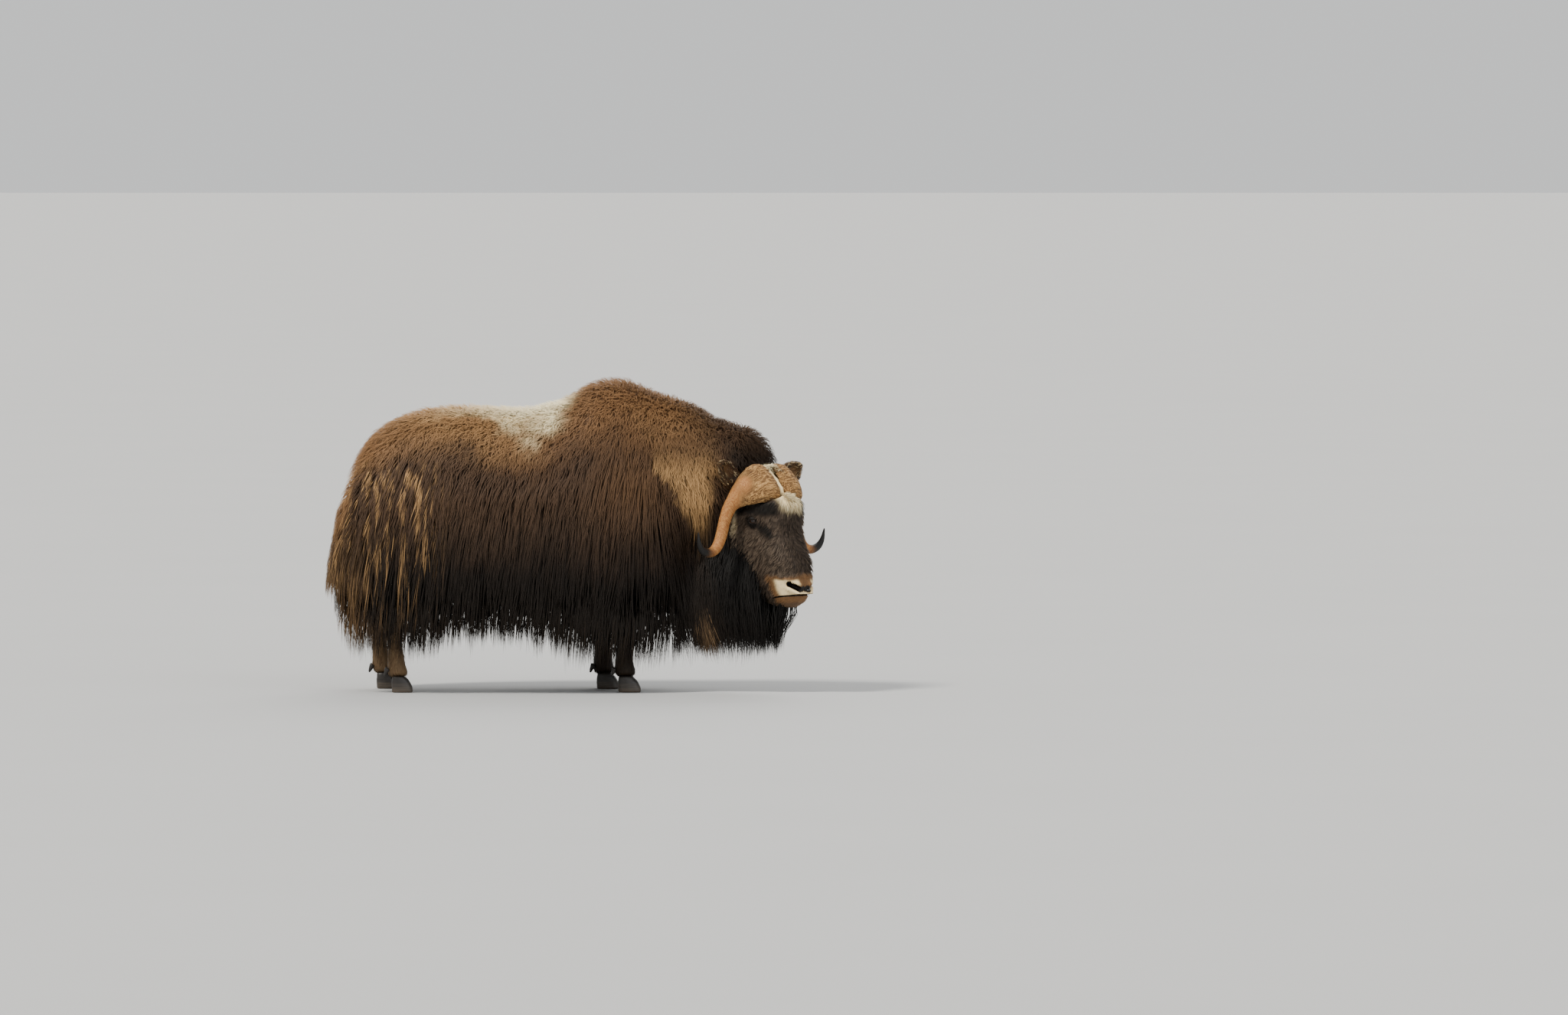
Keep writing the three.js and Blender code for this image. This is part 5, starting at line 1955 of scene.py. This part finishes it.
@dataclass(frozen=True)
class HoofFinish:
    """Dark hoof horn with growth rings and a worn, dusty edge."""

    name: str = "hoof"
    dark: tuple = linear(34, 29, 25)
    worn: tuple = linear(92, 80, 66)
    ring_stretch: tuple = (8.0, 8.0, 170.0)  # rings of noise, drawn flat

    def material(self) -> Material:
        """Builds the material from the height above the ground."""
        material, wire, shader = new_material(self.name)
        place = wire.node("ShaderNodeNewGeometry").outputs["Position"]
        apart = wire.node("ShaderNodeSeparateXYZ", Vector=place)
        stretch = wire.node("ShaderNodeVectorMath", {"operation": "MULTIPLY"})
        wire.feed(stretch.inputs[0], place)
        stretch.inputs[1].default_value = self.ring_stretch
        rings = wire.noise(stretch.outputs[0], 1.0)
        low = wire.add(wire.times(apart.outputs["Z"], -14.0), rings, 0.1)
        wire.give(shader, Base_Color=wire.mix(low, self.dark, self.worn),
                  Roughness=wire.add(wire.times(rings, 0.3), 0.35), Normal=wire.raised(rings, 0.4, 0.001))
        return material


@dataclass(frozen=True)
class EyeFinish:
    """A wet dark-brown eye with a long pupil and a thin pale rim."""

    name: str = "eye"
    pupil: tuple = linear(6, 6, 8)
    inner: tuple = linear(66, 40, 20)
    outer: tuple = linear(24, 15, 9)
    white: tuple = linear(58, 40, 32)
    pupil_wide: float = 0.36  # shares of the eye's radius
    pupil_high: float = 0.17
    iris_edge: tuple = (0.66, 0.74)

    def material(self) -> Material:
        """Builds the material from the direction of each place on the eyeball."""
        material, wire, shader = new_material(self.name)
        gaze = wire.node("ShaderNodeSeparateXYZ", Vector=wire.row("gaze"))
        wide, high = gaze.outputs["Y"], gaze.outputs["Z"]
        square = wire.math("ADD", wire.math("POWER", wide, 2.0), wire.math("POWER", high, 2.0))
        away = wire.math("SQRT", square)
        slit = wire.math("ADD", wire.math("POWER", wire.math("DIVIDE", wide, self.pupil_wide), 2.0),
                         wire.math("POWER", wire.math("DIVIDE", high, self.pupil_high), 2.0))
        spokes = wire.noise(wire.row("gaze"), 14.0, 3.0)
        bright = wire.math("MULTIPLY", spokes, wire.math("SUBTRACT", 1.1, away), True)
        iris = wire.mix(bright, self.outer, self.inner)
        colour = wire.mix(ramp(wire, away, *self.iris_edge), iris, self.white)
        colour = wire.mix(ramp(wire, slit, 1.25, 0.9), colour, self.pupil)
        wire.give(shader, Base_Color=colour, Roughness=0.3, Specular_IOR_Level=0.2, Coat_Weight=0.45,
                  Coat_Roughness=0.03)
        return material


# The studio


@dataclass(frozen=True)
class Lamp:
    """A wide, soft light from far away."""

    name: str
    towards: tuple
    strength: float
    softness: float  # degrees of sky that it fills
    colour: tuple

    def build(self) -> None:
        """Hangs the light."""
        lamp = bpy.data.lights.new(self.name, "SUN")
        lamp.energy, lamp.angle, lamp.color = self.strength, math.radians(self.softness), self.colour
        piece = in_scene(self.name, lamp)
        piece.rotation_euler = Vector(self.towards).to_track_quat("-Z", "Y").to_euler()


@dataclass
class Studio:
    """A plain pale floor, soft light, and the camera at the photograph's angle."""

    floor_size: float = 900.0
    floor_colour: tuple = (0.475, 0.475, 0.470, 1.0)
    sky_colour: tuple = (0.80, 0.81, 0.81, 1.0)
    sky_strength: float = 0.98
    distance: float = 45.0
    elevation: float = 2.0  # degrees
    frame_width: float = 6.758  # metres across the picture at the animal
    aim: tuple = (0.903, 0.0, 0.789)
    sensor: float = 36.0  # millimetres
    farthest: float = 1000.0  # that the camera sees
    lamps: tuple = (
        Lamp("key", (0.50, 0.42, -0.80), 3.6, 12.0, (1.0, 0.965, 0.90)),
        Lamp("fill", (-0.55, 0.75, -0.35), 0.9, 50.0, (0.93, 0.96, 1.0)),
        Lamp("back", (-0.15, -0.80, -0.55), 1.3, 40.0, (1.0, 0.98, 0.95)),
    )

    def floor(self) -> Object:
        """A wide ground sheet, gently uneven in colour."""
        mesh = bpy.data.meshes.new("floor")
        half = self.floor_size / 2
        corners = [(-half, -half, 0), (half, -half, 0), (half, half, 0), (-half, half, 0)]
        mesh.from_pydata(corners, [], [(0, 1, 2, 3)])
        floor = in_scene("floor", mesh)
        material, wire, shader = new_material("floor")
        speckle = wire.noise(wire.node("ShaderNodeNewGeometry").outputs["Position"], 0.7)
        pale = tuple(0.96 * c for c in self.floor_colour[:3]) + (1.0,)
        wire.give(shader, Base_Color=wire.mix(speckle, self.floor_colour, pale), Roughness=0.9)
        mesh.materials.append(material)
        floor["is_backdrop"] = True
        return floor

    def camera(self) -> None:
        """Looks at the animal's right side from a little above, as the photograph does."""
        lens = bpy.data.cameras.new("camera")
        lens.sensor_width = self.sensor
        lens.lens = self.sensor * self.distance / self.frame_width
        lens.clip_end = self.farthest
        camera = in_scene("camera", lens)
        angle = math.radians(self.elevation)
        away = Vector((0.0, -math.cos(angle), math.sin(angle)))
        camera.location = Vector(self.aim) + self.distance * away
        camera.rotation_euler = (-away).to_track_quat("-Z", "Y").to_euler()
        bpy.context.scene.camera = camera

    def build(self) -> None:
        """Sets up floor, sky, lights and camera."""
        self.floor()
        world = bpy.data.worlds.new("studio")
        bpy.context.scene.world = world
        world.use_nodes = True
        sky = world.node_tree.nodes["Background"]
        sky.inputs["Color"].default_value = self.sky_colour
        sky.inputs["Strength"].default_value = self.sky_strength
        for lamp in self.lamps:
            lamp.build()
        self.camera()


def dress(piece: Object, material: Material) -> None:
    """Gives a piece its only material."""
    piece.data.materials.clear()
    piece.data.materials.append(material)


def paint_skin(piece: Object, skin: Skin, markings: Markings) -> None:
    """Puts the coat's markings on the skin, with a hair's grain that runs down the body."""
    points = vertices_of(piece.data)
    set_numbers(piece.data, "along", np.full(len(points), 0.45))
    set_numbers(piece.data, "tone", 0.25 + 0.2 * markings.noise.at(points, 0.012))
    set_numbers(piece.data, "grain", points * np.array([120.0, 120.0, 22.0]))
    markings.paint(piece.data, points, part_of(skin, points), np.full(len(points), 0.5))


def main() -> None:
    """Builds the animal, its coat and the studio, in order."""
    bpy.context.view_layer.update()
    logging.basicConfig(level=logging.INFO, format="%(message)s")
    Studio().build()
    head = HeadPlace()
    skin = Skin(head)
    skin_piece = skin.build()
    markings = Markings(head, skin)
    markings.measure_ridge(vertices_of(skin_piece.data))
    paint_skin(skin_piece, skin, markings)
    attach(skin_piece, "root")
    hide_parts(*TRUNK_NODES, *HEAD_NODES, *EAR_NODES, *LEG_NODES, *TAIL_NODES)
    hair = CoatFinish("hair", coat_colour_group(CoatPalette())).material()
    horn_finish = HornFinish().material()
    hoof_finish = HoofFinish().material()
    eye_finish = EyeFinish().material()
    horns = [Horn(side, head) for side in SIDES]
    for horn in horns:
        dress(horn.build(), horn_finish)
    for side in SIDES:
        dress(Eye(side, head, skin).build(), eye_finish)
    for piece in Hooves().build():
        dress(piece, hoof_finish)
    dress(skin_piece, hair)
    for piece in Coat(head, skin, markings, horns).build(skin_piece.data):
        dress(piece, hair)


if __name__ == "__main__":
    main()
